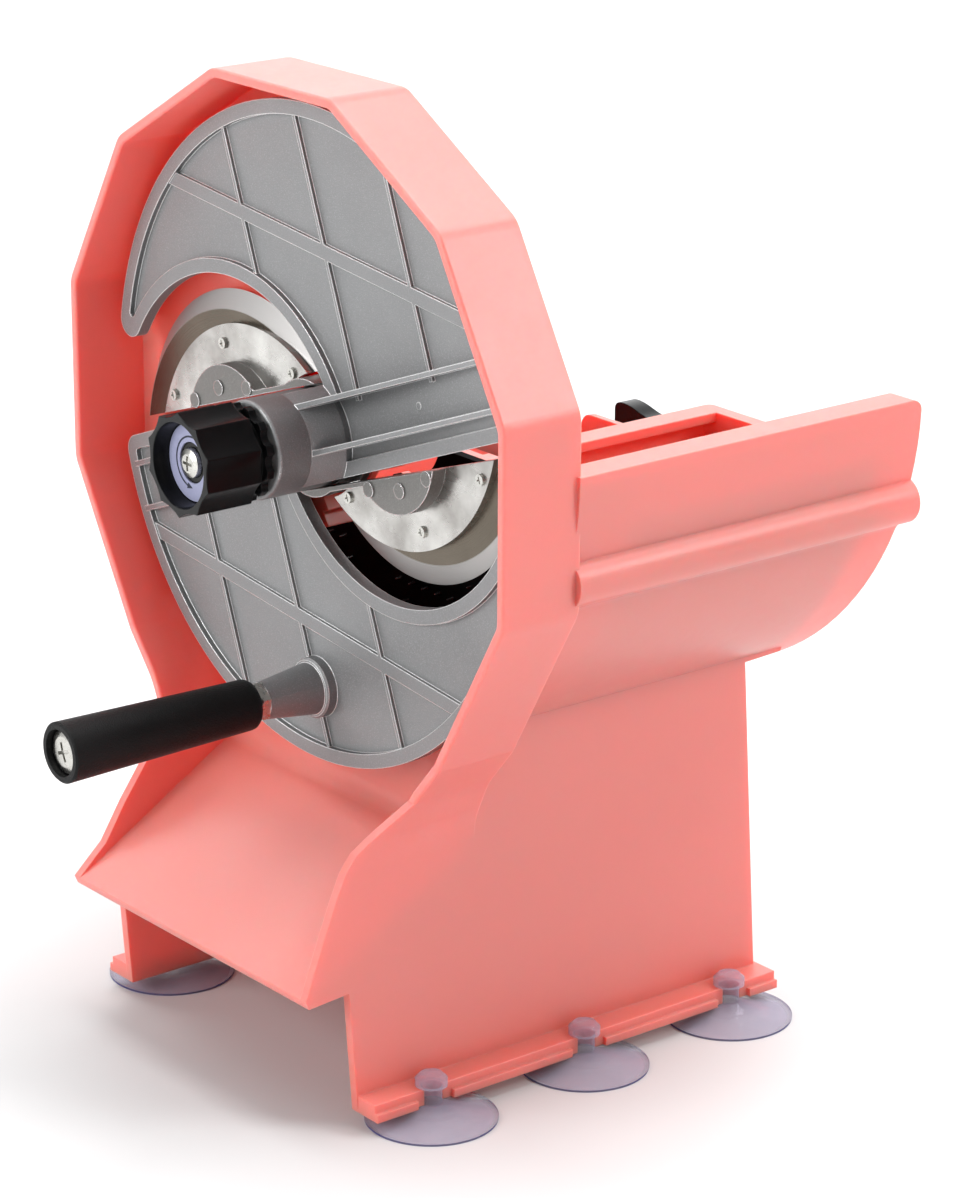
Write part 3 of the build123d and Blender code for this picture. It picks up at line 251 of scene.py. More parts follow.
class Finish:
    """A material under construction."""

    def __init__(self, name):
        self.material = bpy.data.materials.new(name)
        self.material.use_nodes = True
        self.tree = self.material.node_tree
        self.shader = self.tree.nodes["Principled BSDF"]
        self.place = self.node("ShaderNodeTexCoord", output="Object")

    def node(self, kind, settings=None, values=None, output=0):
        """Make a node, set it, fill or link its sockets, and return one output."""
        made = self.tree.nodes.new(kind)
        for key, value in (settings or {}).items():
            setattr(made, key, value)
        for key, value in (values or {}).items():
            self.fill(made.inputs[key], value)
        return Wire(self, made.outputs[output])

    def fill(self, socket, value):
        """Link a wire to an input socket, or type a value into it."""
        if isinstance(value, Wire):
            self.tree.links.new(value.socket, socket)
        else:
            socket.default_value = value

    def set(self, **values):
        """Fill the sockets of the surface shader."""
        for key, value in values.items():
            self.fill(self.shader.inputs[key.replace("_", " ")], value)

    def noise(self, scale, detail=3.0, stretch=None):
        """Soft random pattern, 0 to 1, optionally drawn out along some axes."""
        place = self.place
        if stretch:
            place = self.node("ShaderNodeMapping", None, {"Vector": place, "Scale": stretch})
        values = {"Vector": place, "Scale": scale, "Detail": detail, "Roughness": NOISE_ROUGHNESS}
        return self.node("ShaderNodeTexNoise", None, values)

    def mix(self, factor, first, second):
        """Blend two colours."""
        first = first if isinstance(first, Wire) else (*first, 1)
        second = second if isinstance(second, Wire) else (*second, 1)
        colours = {0: factor, 6: first, 7: second}
        return self.node("ShaderNodeMix", {"data_type": "RGBA"}, colours, 2)

    def axis(self, letter):
        """One coordinate of the point, in metres."""
        return self.node("ShaderNodeSeparateXYZ", None, {0: self.place}, letter)

    def true_normal(self):
        """The direction that the flat face really looks in."""
        return self.node("ShaderNodeNewGeometry", output="True Normal")

    def rounded(self, radius):
        """A normal that makes sharp edges look rounded."""
        return self.node("ShaderNodeBevel", {"samples": BEVEL_SAMPLES}, {"Radius": radius})

    def bump(self, height, depth, softened=None):
        """A surface normal that is bent by a height pattern."""
        values = {"Height": height, "Strength": 1.0, "Distance": depth}
        if softened is not None:
            values["Normal"] = softened
        return self.node("ShaderNodeBump", None, values)

    def edge_wear_and_highlight(self, radius):
        """1 on sharp edges and 0 elsewhere: where the rounded normal leaves the true one."""
        true, bent = self.true_normal(), self.rounded(radius)
        product = {"operation": "DOT_PRODUCT"}
        along = self.node("ShaderNodeVectorMath", product, {0: true, 1: bent}, "Value")
        return (1 - along).smooth(*EDGE_BEND)


print("finishes can be made")

# %% [markdown]
# ## Moulded pink plastic
# Food-safe ABS out of a polished mould: salmon pink, satin, with a faint unevenness from
# flow and cooling. The colour varies by a few percent at hand size, the gloss at finger
# size, and a very shallow bump breaks long reflections. The walls are thin and let red light
# through, so a shaded wall with daylight behind it glows orange-red. Subsurface scattering
# does this by itself, as long as red travels further than green and blue. Between two pink
# walls the light also bounces many times and deepens. A few bounces don't show all of that,
# so sheltered places, which the Ambient Occlusion node finds, get a painted shade: a slightly
# deeper red in the colour itself.

# %% Pink plastic
PINK_DARK, PINK_LIGHT = (0.690, 0.210, 0.186), (0.710, 0.230, 0.203)
PINK_PAINTED_SHADE = (0.66, 0.125, 0.075)
SHELTER_REACH = 0.09
SHELTER_SAMPLES = 6
PINK_GLOW_DEPTH = 0.012


def pink_plastic():
    finish = Finish("moulded_pink")
    flow = finish.noise(9, 4)
    skin = finish.noise(260, 2)
    ripple = finish.noise(38, 2)
    colour = finish.mix(flow, PINK_DARK, PINK_LIGHT)
    open_sky = finish.node("ShaderNodeAmbientOcclusion", {"samples": SHELTER_SAMPLES},
                           {"Distance": SHELTER_REACH}, "AO")
    # Painted shade: sheltered places get a deeper red in the colour itself.
    painted_shade = (1 - open_sky).smooth(0.26, 0.70) * 0.6
    colour = finish.mix(painted_shade, colour, PINK_PAINTED_SHADE)
    finish.set(Base_Color=colour, Roughness=0.30 + 0.10 * ripple + 0.04 * skin)
    finish.set(Normal=finish.bump(ripple * 0.7 + skin * 0.15, 0.00028, finish.rounded(0.0009)))
    finish.set(IOR=1.5, Subsurface_Weight=1.0, Subsurface_Scale=PINK_GLOW_DEPTH)
    finish.set(Subsurface_Radius=(1.0, 0.12, 0.08))
    return finish.material


PINK = pink_plastic()
print("made", PINK.name)

# %% [markdown]
# ## Die-cast aluminium
# The disc comes out of a die and is only blasted: matt grey with a grain of about half a
# millimetre, small brighter specks, and slow clouds from handling. One grain drives colour,
# roughness and bump alike, and the specks are both paler and higher, so the patterns agree.
# Handling polishes the edges of ribs and rims. There the Bevel node's normal leaves the true
# one, and that difference is the mask for a brighter, smoother metal. The paler colour there is
# partly that real wear and partly a painted highlight, the glint that the edges catch. The
# blade holder is such a casting too, darker and machined smoother.

# %% Cast aluminium
GRAIN_SCALE, SPECK_SCALE, CLOUD_SCALE = 1500, 2600, 26
SPECK_BRIGHTER = 1.5
EDGE_WEAR_AND_HIGHLIGHT = (0.95, 0.95, 0.95)


def cast_aluminium(name, light, dark, least_rough):
    finish = Finish(name)
    grain = finish.noise(GRAIN_SCALE, 2)
    specks = finish.noise(SPECK_SCALE, 1).smooth(0.58, 0.72)
    clouds = finish.noise(CLOUD_SCALE, 4)
    tone = (grain * 0.55 + clouds * 0.45).clamped()
    colour = finish.mix(tone, dark, light)
    bright = tuple(min(1.0, part * SPECK_BRIGHTER) for part in light)
    colour = finish.mix(specks * 0.5, colour, bright)
    # Edge mask: real wear and a painted highlight, a paler and smoother metal on the edges.
    edge = finish.edge_wear_and_highlight(0.0007) * (0.75 + 0.6 * clouds)
    colour = finish.mix(edge.clamped(), colour, EDGE_WEAR_AND_HIGHLIGHT)
    finish.set(Base_Color=colour, Metallic=0.75)
    finish.set(Roughness=least_rough + 0.18 * grain + 0.08 * clouds - 0.14 * edge)
    finish.set(Normal=finish.bump(grain * 0.6 + specks * 0.4, 0.00016, finish.rounded(0.0006)))
    return finish.material


CASTING = cast_aluminium("cast_aluminium", (0.315, 0.319, 0.322), (0.195, 0.197, 0.199), 0.40)
HOLDER_METAL = cast_aluminium("machined_casting", (0.225, 0.22, 0.21), (0.115, 0.112, 0.107), 0.22)
print("made", CASTING.name, "and", HOLDER_METAL.name)

# %% [markdown]
# ## Ground blades
# The blade's wide bevel is ground, so fine marks run round it and it looks paler than the
# flat behind it. The flat mirrors the dark room, and its dark brown colour is also a painted
# reflection of that room, with slow stains over it. The bevel is a ring about the blade's own
# centre, so the distance from that centre tells bevel from flat, and a noise with one
# dimension, read along that distance, draws rings of uneven width. That centre was measured
# with the disc level, and the disc stands turned by 21 degrees, as in the photograph.

# %% Ground blades
REST_ANGLE = math.radians(21.0)
BLADE_CENTRE = (-0.065, -0.008)
BEVEL_FROM, BEVEL_FULL = 0.0686, 0.0692
GRINDING_SCALE = 9000


def on_disc(x, z):
    """A place on the level disc, turned to the rest angle, as X and Z."""
    turned_x = x * math.cos(REST_ANGLE) - z * math.sin(REST_ANGLE)
    turned_z = x * math.sin(REST_ANGLE) + z * math.cos(REST_ANGLE)
    return AXIS_X + turned_x, AXIS_Z + turned_z


def ground_blade(name, side_of_axis):
    finish = Finish(name)
    centre_x, centre_z = on_disc(*(part * side_of_axis for part in BLADE_CENTRE))
    x = finish.axis("X") - centre_x
    z = finish.axis("Z") - centre_z
    distance = (x * x + z * z) ** 0.5
    bevel = distance.smooth(BEVEL_FROM, BEVEL_FULL)
    marks = finish.node("ShaderNodeTexNoise", {"noise_dimensions": "1D"},
                        {"W": distance * GRINDING_SCALE, "Detail": 2.0, "Scale": 1.0})
    stain = finish.noise(30, 4)
    # The flat's dark brown is a painted reflection of the dark room, with stains over it.
    flat = finish.mix(stain, (0.085, 0.070, 0.052), (0.17, 0.145, 0.115))
    ground = finish.mix(marks, (0.38, 0.37, 0.36), (0.54, 0.53, 0.52))
    finish.set(Base_Color=finish.mix(bevel, flat, ground), Metallic=0.9)
    finish.set(Roughness=0.22 + 0.16 * bevel + 0.08 * marks)
    finish.set(Normal=finish.bump(marks, 0.00002))
    return finish.material


BLADE_UP = ground_blade("ground_blade_upper", 1)
BLADE_LOW = ground_blade("ground_blade_lower", -1)
print("made", BLADE_UP.name, "and", BLADE_LOW.name)

# %% [markdown]
# ## Polished and plated steel
# The clamp plates are polished sheet with soft stains from juice and washing. A drawn map of
# stains would need an unwrapped plate, so a noise with its middle range stretched makes them.
# The screws, the shaft and the bolt are zinc plated, and a fine cloud varies their gloss.

# %% Polished and plated steel
def polished_plate():
    finish = Finish("polished_plate")
    stain = finish.noise(34, 5)
    smear = finish.noise(60, 3, (1.0, 1.0, 2.5))
    colour = finish.mix(stain.smooth(0.32, 0.66), (0.25, 0.235, 0.22), (0.62, 0.61, 0.585))
    finish.set(Base_Color=colour, Metallic=1.0, Roughness=0.16 + 0.22 * smear)
    finish.set(Normal=finish.bump(smear, 0.00025))
    return finish.material


def plated_steel():
    finish = Finish("plated_steel")
    cloud = finish.noise(350, 3)
    colour = finish.mix(cloud, (0.42, 0.415, 0.385), (0.68, 0.67, 0.63))
    finish.set(Base_Color=colour, Metallic=1.0, Roughness=0.18 + 0.2 * cloud)
    finish.set(Normal=finish.bump(cloud, 0.00004))
    return finish.material


PLATE = polished_plate()
PLATED = plated_steel()
print("made", PLATE.name, "and", PLATED.name)

# %% [markdown]
# ## Small turned parts
# The bushes are sintered bronze, porous and dull, so one fine noise drives colour, roughness
# and bump. The washer is milky nylon, which lets a little light in. The rear bush shows when
# the machine is turned round, and the washer only when it is taken apart.

# %% Bronze and nylon
def sintered_bronze():
    finish = Finish("sintered_bronze")
    pores = finish.noise(1800, 2)
    colour = finish.mix(pores, (0.34, 0.20, 0.08), (0.62, 0.42, 0.20))
    finish.set(Base_Color=colour, Metallic=0.9, Roughness=0.35 + 0.25 * pores)
    finish.set(Normal=finish.bump(pores, 0.00006))
    return finish.material


def milky_nylon():
    finish = Finish("milky_nylon")
    cloud = finish.noise(120, 3)
    finish.set(Base_Color=finish.mix(cloud, (0.62, 0.60, 0.56), (0.74, 0.73, 0.70)))
    finish.set(Roughness=0.4 + 0.15 * cloud, Subsurface_Weight=0.1, Subsurface_Scale=0.003)
    return finish.material


BRONZE = sintered_bronze()
NYLON = milky_nylon()
print("made", BRONZE.name, "and", NYLON.name)

# %% [markdown]
# ## Black plastics
# The knob is a hard gloss black, smooth with a faint orange peel. The crank grip and the
# pusher's face have a fine spark-eroded grain that scatters the light. Deep black needs a low
# specular level as well as a dark colour, or it mirrors the pink round it and looks brown.
# The small spikes are the exception: they are only seen by their glints, so they mirror well.

# %% Black plastics
def gloss_black(name, shine):
    finish = Finish(name)
    peel = finish.noise(420, 2)
    dust = finish.noise(90, 4)
    colour = finish.mix(dust, (0.002, 0.002, 0.0022), (0.006, 0.006, 0.0065))
    finish.set(Base_Color=colour, Roughness=0.16 + 0.12 * dust, Specular_IOR_Level=shine)
    finish.set(Normal=finish.bump(peel, 0.00003, finish.rounded(0.0006)))
    return finish.material


def grained_black(name, least_rough, depth, shine):
    finish = Finish(name)
    grain = finish.noise(1500, 2)
    wear = finish.noise(45, 4)
    colour = finish.mix(wear, (0.0015, 0.0015, 0.0016), (0.004, 0.004, 0.0043))
    finish.set(Base_Color=colour, Roughness=least_rough + 0.2 * grain, Specular_IOR_Level=shine)
    finish.set(Normal=finish.bump(grain, depth, finish.rounded(0.0005)))
    return finish.material


GLOSS_BLACK = gloss_black("gloss_black", 0.20)
SPIKE_BLACK = gloss_black("spike_black", 0.9)
GRIP_BLACK = grained_black("grained_black", 0.36, 0.00030, 0.18)
FACE_BLACK = grained_black("face_black", 0.55, 0.00006, 0.03)
print("made four blacks")

# %% [markdown]
# ## Clear violet vinyl
# The cups are soft clear vinyl, grey with a violet cast. Light mostly passes through the
# thin dome. Real refraction through thin sheets is slow and noisy, so a low alpha stands in
# for it. It is denser where the sheet is seen edge-on, which the Layer Weight node measures.
# The solid button on top is purple, and the rim's upright edge just above the table gathers
# light and looks like a thin dark blue line. The height and the way that the surface faces
# tell them apart.

# %% Clear vinyl
CUP_RIM_TOP = 0.0022
BUTTON_LOW, BUTTON_HIGH = 0.019, 0.023
VINYL_PALE, VINYL_DEEP = (0.46, 0.43, 0.54), (0.34, 0.32, 0.44)
BUTTON_PURPLE = (0.13, 0.05, 0.20)
RIM_BLUE = (0.05, 0.045, 0.16)


def clear_vinyl():
    finish = Finish("clear_vinyl")
    height = finish.axis("Z")
    facing_up = finish.node("ShaderNodeSeparateXYZ", None, {0: finish.true_normal()}, "Z")
    upright = 1 - (facing_up * facing_up).smooth(0.2, 0.5)
    rim = upright * (1 - height.smooth(CUP_RIM_TOP * 0.9, CUP_RIM_TOP))
    button = height.smooth(BUTTON_LOW, BUTTON_HIGH)
    edge = finish.node("ShaderNodeLayerWeight", None, {"Blend": 0.45}, "Facing")
    swirl = finish.noise(60, 3)
    colour = finish.mix(swirl, VINYL_DEEP, VINYL_PALE)
    colour = finish.mix(button, colour, BUTTON_PURPLE)
    colour = finish.mix(rim, colour, RIM_BLUE)
    finish.set(Base_Color=colour, Roughness=0.07 + 0.08 * swirl, IOR=1.5)
    alpha = 0.24 + 0.55 * edge ** 2.0 + 0.08 * swirl + 0.45 * button + 0.50 * rim
    finish.set(Alpha=alpha.clamped())
    finish.set(Normal=finish.bump(swirl, 0.0006))
    return finish.material


VINYL = clear_vinyl()
print("made", VINYL.name)

# %% [markdown]
# ## Label
# A lilac ring, printed on matt film, lies in the knob's recess. Its only print is a plain
# arrow that shows which way to turn. Film and ink are the same matt surface in two colours,
# so one function makes both.

# %% Label film and ink
def matt_print(name, dark, light):
    finish = Finish(name)
    print_grain = finish.noise(900, 2)
    finish.set(Base_Color=finish.mix(print_grain, dark, light))
    finish.set(Roughness=0.45 + 0.1 * print_grain)
    return finish.material


LABEL = matt_print("label_film", (0.25, 0.26, 0.39), (0.30, 0.31, 0.45))
INK = matt_print("arrow_ink", (0.006, 0.008, 0.02), (0.012, 0.016, 0.035))
print("made", LABEL.name, "and", INK.name)

# %% [markdown]
# ## Floor paint
# The floor is matt and nearly white. Pure white would burn out under the lamps and lose the
# machine's shadow, so it is a light grey, with a very slow cloud that keeps it from looking
# like a flat card.

# %% Floor paint
def floor_paint():
    finish = Finish("floor_paint")
    cloud = finish.noise(1.5, 2)
    finish.set(Base_Color=finish.mix(cloud, (0.59, 0.59, 0.59), (0.61, 0.61, 0.61)))
    finish.set(Roughness=0.6 + 0.1 * cloud)
    return finish.material


floor_mesh.materials.append(floor_paint())
print("floor painted")

# %% [markdown]
# ## Dress the solids
# Each solid keeps its shape and gets its material through its object's slots, so that its
# mesh stays as the CAD made it. Six suction cups share one finish, and every metal part that
# the list doesn't name is plated steel.

# %% Materials on the solids
LOOKS = {
    "housing": PINK, "pusher_carriage": PINK,
    "cutting_disc": CASTING, "blade_holder": HOLDER_METAL, "holder_rivets": HOLDER_METAL,
    "blade_upper": BLADE_UP, "blade_lower": BLADE_LOW,
    "clamp_plate_upper": PLATE, "clamp_plate_lower": PLATE,
    # The knob's steel insert wears the knob's gloss black, a painted shadow round the screw.
    "bush_front": BRONZE, "bush_rear": BRONZE, "knob_insert": GLOSS_BLACK, "thrust_washer": NYLON,
    "adjusting_knob": GLOSS_BLACK, "pusher_handle": GLOSS_BLACK,
    "handle_grip": GRIP_BLACK, "pusher_face": FACE_BLACK, "knob_label": LABEL,
}
for node_name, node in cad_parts.items():
    look = LOOKS.get(node_name, VINYL if node_name.startswith("suction_cup") else PLATED)
    if not node.material_slots:
        node.data.materials.append(None)
    for slot in node.material_slots:
        slot.link = "OBJECT"
        slot.material = look
print("dressed", len(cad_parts), "solids")

# %% [markdown]
# ## Trees that grow a piece
# A Geometry Nodes tree is a recipe. Its sizes come in through named inputs, and a modifier
# hands them over by each socket's identifier. Once it is evaluated, the result is taken as a
# plain mesh and the modifier goes, so that the export finds ordinary faces.

# %% Helpers for Geometry Nodes
def tree_with_sizes(name, lengths, counts=()):
    """An empty tree with one geometry in, one out, and a named input for every size."""
    tree = bpy.data.node_groups.new(name, "GeometryNodeTree")
    tree.interface.new_socket("Points", in_out="INPUT", socket_type="NodeSocketGeometry")
    for word in lengths:
        tree.interface.new_socket(word, in_out="INPUT", socket_type="NodeSocketFloat")
    for word in counts:
        tree.interface.new_socket(word, in_out="INPUT", socket_type="NodeSocketInt")
    tree.interface.new_socket("Piece", in_out="OUTPUT", socket_type="NodeSocketGeometry")
    return tree


def nodes_of(tree, *kinds):
    """Put one node of each kind in the tree."""
    return [tree.nodes.new(kind) for kind in kinds]


def wire_up(tree, *pairs):
    """Link each output to its input."""
    for source, target in pairs:
        tree.links.new(source, target)


def grown_piece(name, points, tree, sizes):
    """Run a tree on a cloud of points and return the result as an object with a plain mesh."""
    carrier = bpy.data.meshes.new(name)
    carrier.from_pydata([tuple(point) for point in points], [], [])
    piece = put_in_scene(name, carrier)
    modifier = piece.modifiers.new(name, "NODES")
    modifier.node_group = tree
    for socket in tree.interface.items_tree:
        if socket.in_out == "INPUT" and socket.name in sizes:
            modifier[socket.identifier] = sizes[socket.name]
    evaluated = piece.evaluated_get(bpy.context.evaluated_depsgraph_get())
    finished = bpy.data.meshes.new_from_object(evaluated)
    piece.modifiers.clear()
    piece.data = finished
    return piece


print("trees can be grown")

# %% [markdown]
# ## Spring between holder and disc
# The spring gets shorter when the knob draws the disc back. Its rule is short: a wire's round
# section follows a helix, so Geometry Nodes draw it from a radius, a wire and a number of
# turns. It replaces the solid spring, which can't be shown pressed together, and moves with
# the rotor.

# %% Spring
SPRING_TURNS = 5.0
SPRING_WIRE = 0.0008
STEPS_PER_TURN = 48
WIRE_SIDES = 12
ALONG_THE_AXIS = (-math.pi / 2, 0, 0)


def coil_tree(name, look):
    lengths = ("Radius", "Wire", "Length", "Turns", "Axis X", "Front Y", "Axis Z")
    tree = tree_with_sizes(name, lengths)
    given, helix, section, sweep, place, turn, solid, paint, result = nodes_of(
        tree, "NodeGroupInput", "GeometryNodeCurveSpiral", "GeometryNodeCurvePrimitiveCircle",
        "GeometryNodeCurveToMesh", "ShaderNodeCombineXYZ", "GeometryNodeTransform",
        "GeometryNodeRealizeInstances", "GeometryNodeSetMaterial", "NodeGroupOutput")
    helix.inputs["Resolution"].default_value = STEPS_PER_TURN
    section.inputs["Resolution"].default_value = WIRE_SIDES
    sweep.inputs["Fill Caps"].default_value = True
    turn.inputs["Rotation"].default_value = ALONG_THE_AXIS
    paint.inputs["Material"].default_value = look
    wire_up(tree,
            (given.outputs["Turns"], helix.inputs["Rotations"]),
            (given.outputs["Radius"], helix.inputs["Start Radius"]),
            (given.outputs["Radius"], helix.inputs["End Radius"]),
            (given.outputs["Length"], helix.inputs["Height"]),
            (given.outputs["Wire"], section.inputs["Radius"]),
            (helix.outputs["Curve"], sweep.inputs["Curve"]),
            (section.outputs["Curve"], sweep.inputs["Profile Curve"]),
            (given.outputs["Axis X"], place.inputs["X"]),
            (given.outputs["Front Y"], place.inputs["Y"]),
            (given.outputs["Axis Z"], place.inputs["Z"]),
            (sweep.outputs["Mesh"], turn.inputs["Geometry"]),
            (place.outputs["Vector"], turn.inputs["Translation"]),
            (turn.outputs["Geometry"], solid.inputs["Geometry"]),
            (solid.outputs["Geometry"], paint.inputs["Geometry"]),
            (paint.outputs["Geometry"], result.inputs[0]))
    return tree


def coil_spring():
    low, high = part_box("disc_spring")
    length = high.y - low.y
    sizes = {"Radius": (high.x - low.x) / 2 - SPRING_WIRE, "Wire": SPRING_WIRE,
             "Length": length - 2 * SPRING_WIRE, "Turns": SPRING_TURNS,
             "Axis X": AXIS_X, "Front Y": low.y + SPRING_WIRE, "Axis Z": AXIS_Z}
    spring = grown_piece("coil_spring", [], coil_tree("coil_spring", PLATED), sizes)
    smooth = [True] * len(spring.data.polygons)
    spring.data.polygons.foreach_set("use_smooth", smooth)
    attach(spring, "rotor")
    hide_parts("disc_spring")
    # At full travel the coil is 0.2 mm shorter than the gap that is left.
    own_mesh(spring)
    print("spring", round(length * 1000, 2), "mm long,", len(spring.data.polygons), "faces")


coil_spring()

# %% [markdown]
# ## Arrow on the knob's label
# A printed arrow is a flat shape with hardly any thickness. A picture of it would need an
# unwrapped label. Two layers of points a tenth of a millimetre apart give clean edges: each
# layer is filled as a curved strip and a head, and side faces close the rims between them.
# The faces are listed, so they come in the same order each time and all point
# outwards. The arrow runs from the top over the left to the bottom, where its head points to
# the right.

# %% Printed arrow
ARROW_RADIUS = 0.0104
ARROW_HALF = 0.00036
ARROW_FROM, ARROW_TO = 78.0, 252.0
ARROW_STEPS = 40
HEAD_HALF, HEAD_LENGTH = 0.00135, 0.0034
INK_THICK = 0.0001


def label_point(radius, angle, depth):
    """A point by radius and angle in degrees about the knob's axis."""
    turn = math.radians(angle)
    return Vector((AXIS_X + radius * math.cos(turn), depth, AXIS_Z + radius * math.sin(turn)))


def printed_arrow():
    label_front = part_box("knob_label")[0].y
    reach = ARROW_TO - ARROW_FROM
    turns = [ARROW_FROM + reach * n / ARROW_STEPS for n in range(ARROW_STEPS + 1)]
    head_turn = math.degrees(HEAD_LENGTH / ARROW_RADIUS)
    flat = [(ARROW_RADIUS + ARROW_HALF, turn) for turn in turns]
    flat += [(ARROW_RADIUS - ARROW_HALF, turn) for turn in turns]
    flat += [(ARROW_RADIUS + HEAD_HALF, ARROW_TO), (ARROW_RADIUS, ARROW_TO + head_turn),
             (ARROW_RADIUS - HEAD_HALF, ARROW_TO)]
    points = [label_point(radius, turn, depth)
              for depth in (label_front, label_front - INK_THICK) for radius, turn in flat]

    outer = list(range(len(turns)))
    inner = [n + len(turns) for n in outer]
    head = [2 * len(turns) + n for n in range(3)]
    patches = [(inner[n], outer[n], outer[n + 1], inner[n + 1]) for n in range(ARROW_STEPS)]
    patches.append(tuple(head))
    lift = len(flat)
    faces = [patch[::-1] for patch in patches]
    faces += [tuple(n + lift for n in patch) for patch in patches]
    for rim in (outer + inner[::-1], head):
        faces += [(a, b, b + lift, a + lift) for a, b in zip(rim, rim[1:] + rim[:1])]

    data = bpy.data.meshes.new("label_arrow")
    data.from_pydata(points, [], faces)
    data.materials.append(INK)
    arrow = put_in_scene("label_arrow", data)
    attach(arrow, "knob")
    print("arrow at radius", ARROW_RADIUS)


printed_arrow()

# %% [markdown]
# ## Small cones and buttons on points
# The pusher's plate is set with black spikes, and the casting shows round marks where the
# die's ejector pins pushed it out. Both are one small turned shape, repeated. Copies could be
# placed one by one in Python, but Geometry Nodes do it with less: the points are the vertices
# of a plain mesh, a cone with a chosen tip stands on each, its size varies a little by a
# seeded random value, and Realize Instances turns the copies into faces. A wide tip makes the
# cone a flat button.

# %% Tree that stands a turned shape on every point
STUD_SEED = 7
FULL_SIZE = 1.0
TIP_FORWARD = (math.pi / 2, 0, 0)


def studding_tree(name, look):
    tree = tree_with_sizes(name, ("Foot Radius", "Tip Radius", "Height", "Unevenness"), ("Sides",))
    given, cone, place, vary, least, solid, paint, result = nodes_of(
        tree, "NodeGroupInput", "GeometryNodeMeshCone", "GeometryNodeInstanceOnPoints",
        "FunctionNodeRandomValue", "ShaderNodeMath", "GeometryNodeRealizeInstances",
        "GeometryNodeSetMaterial", "NodeGroupOutput")
    cone.fill_type = "TRIANGLE_FAN"
    # Random Value has a set of sockets for each kind of data. For single numbers, inputs 2
    # and 3 are the least and the greatest, and output 1 is the result.
    vary.data_type = "FLOAT"
    vary.inputs["Seed"].default_value = STUD_SEED
    vary.inputs[3].default_value = FULL_SIZE
    least.operation = "SUBTRACT"
    least.inputs[0].default_value = FULL_SIZE
    place.inputs["Rotation"].default_value = TIP_FORWARD
    paint.inputs["Material"].default_value = look
    wire_up(tree,
            (given.outputs["Sides"], cone.inputs["Vertices"]),
            (given.outputs["Foot Radius"], cone.inputs["Radius Bottom"]),
            (given.outputs["Tip Radius"], cone.inputs["Radius Top"]),
            (given.outputs["Height"], cone.inputs["Depth"]),
            (given.outputs["Unevenness"], least.inputs[1]),
            (least.outputs[0], vary.inputs[2]),
            (given.outputs["Points"], place.inputs["Points"]),
            (cone.outputs["Mesh"], place.inputs["Instance"]),
            (vary.outputs[1], place.inputs["Scale"]),
            (place.outputs["Instances"], solid.inputs["Geometry"]),
            (solid.outputs["Geometry"], paint.inputs["Geometry"]),
            (paint.outputs["Geometry"], result.inputs[0]))
    return tree


def stud(name, points, look, sizes, body):
    """Stand the tree's shape on every point and keep the result as a plain mesh."""
    piece = grown_piece(name, points, studding_tree(name, look), sizes)
    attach(piece, body)
    print(name, len(points), "studs,", len(piece.data.polygons), "faces")


print("studs can be set")

# %% [markdown]
# ## Where the solid spikes and screws are
# The solids carry rows of spikes on arcs about the axis, about 20 millimetres apart, and four
# screws. Smaller spikes have to keep clear of both. The places are worked out by the rule
# that the solids follow, as X and Z from the axis, and not by eye. A few of them lie in a
# hole or past the rim, where the solids have no spike and no small one may stand either.

# %% Places of the solid spikes and screws
PLATE_RADIUS = 0.1422
SCREW_INSET = 0.0302
SCREW_TURNS = (-160, -120, -60, -20)
ROWS = 6
FIRST_ROW, ROW_PITCH = 0.041, 0.020
SPIKE_SPACING = 0.019
ROW_REACH = 2.5


def round_axis(radius, degrees):
    """X and Z from the axis, by radius and angle."""
    turn = math.radians(degrees)
    return radius * math.cos(turn), radius * math.sin(turn)


def solid_spikes():
    places = []
    for row in range(ROWS):
        radius = FIRST_ROW + ROW_PITCH * row
        count = int(radius * ROW_REACH / SPIKE_SPACING)
        places += [round_axis(radius, -180 + 180 * (n + 0.5) / count) for n in range(count)]
    return places


SOLID_SPIKES = solid_spikes()
SCREWS = [round_axis(PLATE_RADIUS - SCREW_INSET, turn) for turn in SCREW_TURNS]
print(len(SOLID_SPIKES), "places of solid spikes and", len(SCREWS), "screws")

# %% [markdown]
# ## Spikes on the pusher's plate
# The real plate has a denser field of spikes, of which only small glints show through the
# disc's window. A grid with every other row shifted by half a step fills the space between
# the solid ones, clear of the rim, the plate's top, the round eye, the fin's slot and the
# screws.

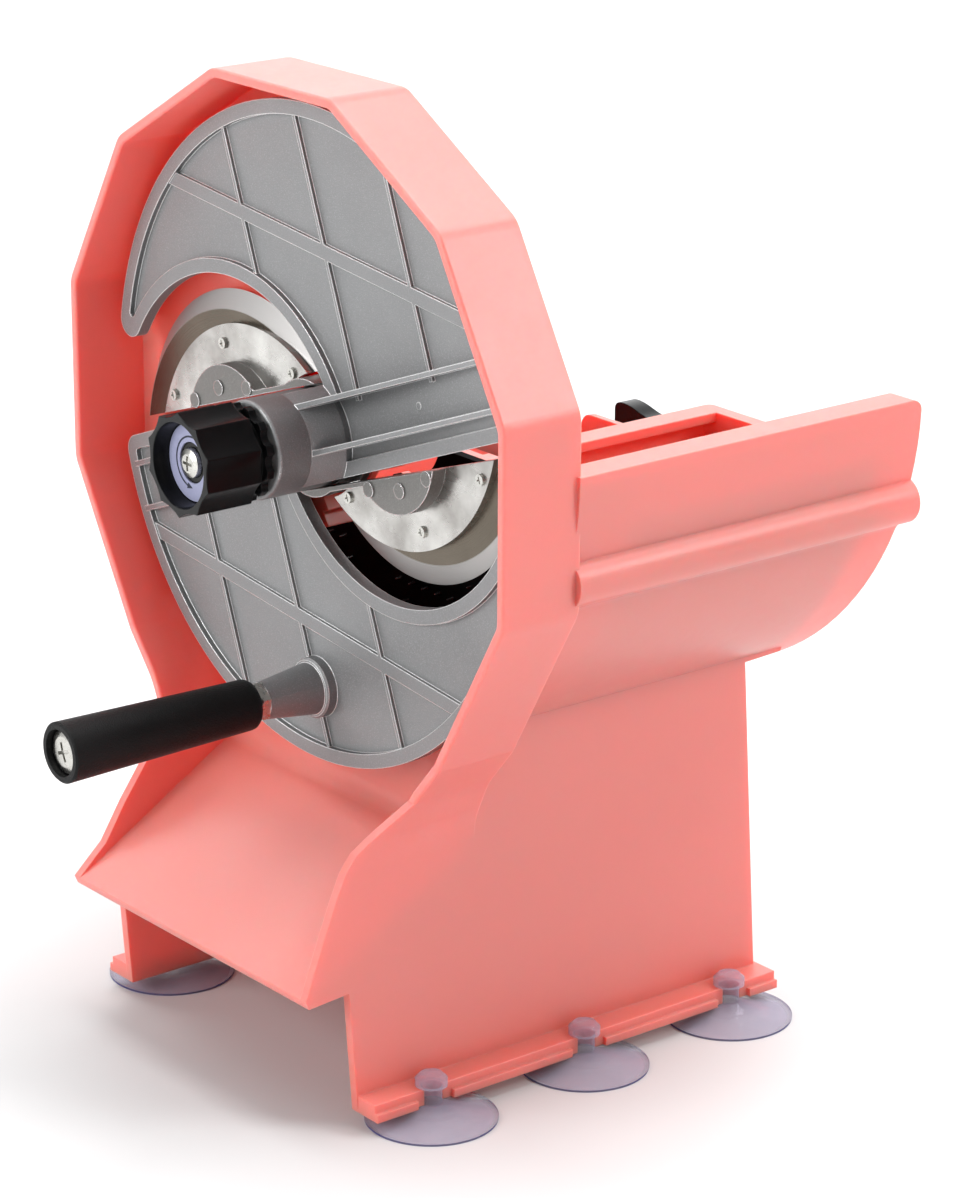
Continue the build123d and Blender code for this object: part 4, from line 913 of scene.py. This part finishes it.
# %% Spikes
SPIKE_PITCH = 0.0085
FIELD_ROWS, FIELD_COLUMNS = range(-16, 2), range(-18, 19)
SPIKE_SHAPE = {"Foot Radius": 0.0013, "Tip Radius": 0.0003, "Height": 0.0034, "Unevenness": 0.08,
               "Sides": 8}
SOLID_SPIKE_HEIGHT = 0.0036
PLATE_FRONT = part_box("pusher_face")[0].y + SOLID_SPIKE_HEIGHT
PLATE_MIDDLE = 0.017
CLEAR_OF_RIM = 0.0035
PLATE_EDGE = PLATE_RADIUS - CLEAR_OF_RIM
TOP_LIMIT = -0.0105
EYE_EDGE = 0.029
SLOT_LEFT, SLOT_RIGHT = -0.034, -0.003
CLEAR_OF_SPIKE, CLEAR_OF_SCREW = 0.0036, 0.0068


def is_near(x, z, places, distance):
    return any(math.hypot(x - a, z - b) < distance for a, b in places)


def is_free(x, z):
    """Whether a spike may stand at X and Z from the axis."""
    on_plate = math.hypot(x, z - PLATE_MIDDLE) <= PLATE_EDGE and z <= TOP_LIMIT
    in_hole = math.hypot(x, z) < EYE_EDGE or SLOT_LEFT < x < SLOT_RIGHT
    taken = is_near(x, z, SOLID_SPIKES, CLEAR_OF_SPIKE) or is_near(x, z, SCREWS, CLEAR_OF_SCREW)
    return on_plate and not in_hole and not taken


def spike_field():
    points = []
    for row in FIELD_ROWS:
        for column in FIELD_COLUMNS:
            x, z = (column + 0.5 * (row % 2)) * SPIKE_PITCH, row * SPIKE_PITCH
            if is_free(x, z):
                points.append((AXIS_X + x, PLATE_FRONT, AXIS_Z + z))
    return points


stud("plate_spikes", spike_field(), SPIKE_BLACK, SPIKE_SHAPE, "pusher")

# %% [markdown]
# ## Ejector marks on the casting
# The pins leave discs of 3.6 millimetres, raised by a hair. They could be a bump in the
# material, but real faces catch the light at their edge from every side. The three that the
# photograph shows are repeated half a turn on, because the casting is the same both ways
# round.

# %% Ejector marks
MARKS = ((0.0025, 0.0767), (0.0597, 0.0717), (0.0683, 0.0281))
MARK_SUNK = 0.00002
MARK_SHAPE = {"Foot Radius": 0.0018, "Tip Radius": 0.0016, "Height": 0.00022, "Unevenness": 0.05,
              "Sides": 28}

mark_points = [(AXIS_X + half * x, DISC_FACE + MARK_SUNK, AXIS_Z + half * z)
               for half in (1, -1) for x, z in MARKS]
stud("ejector_marks", mark_points, CASTING, MARK_SHAPE, "disc")
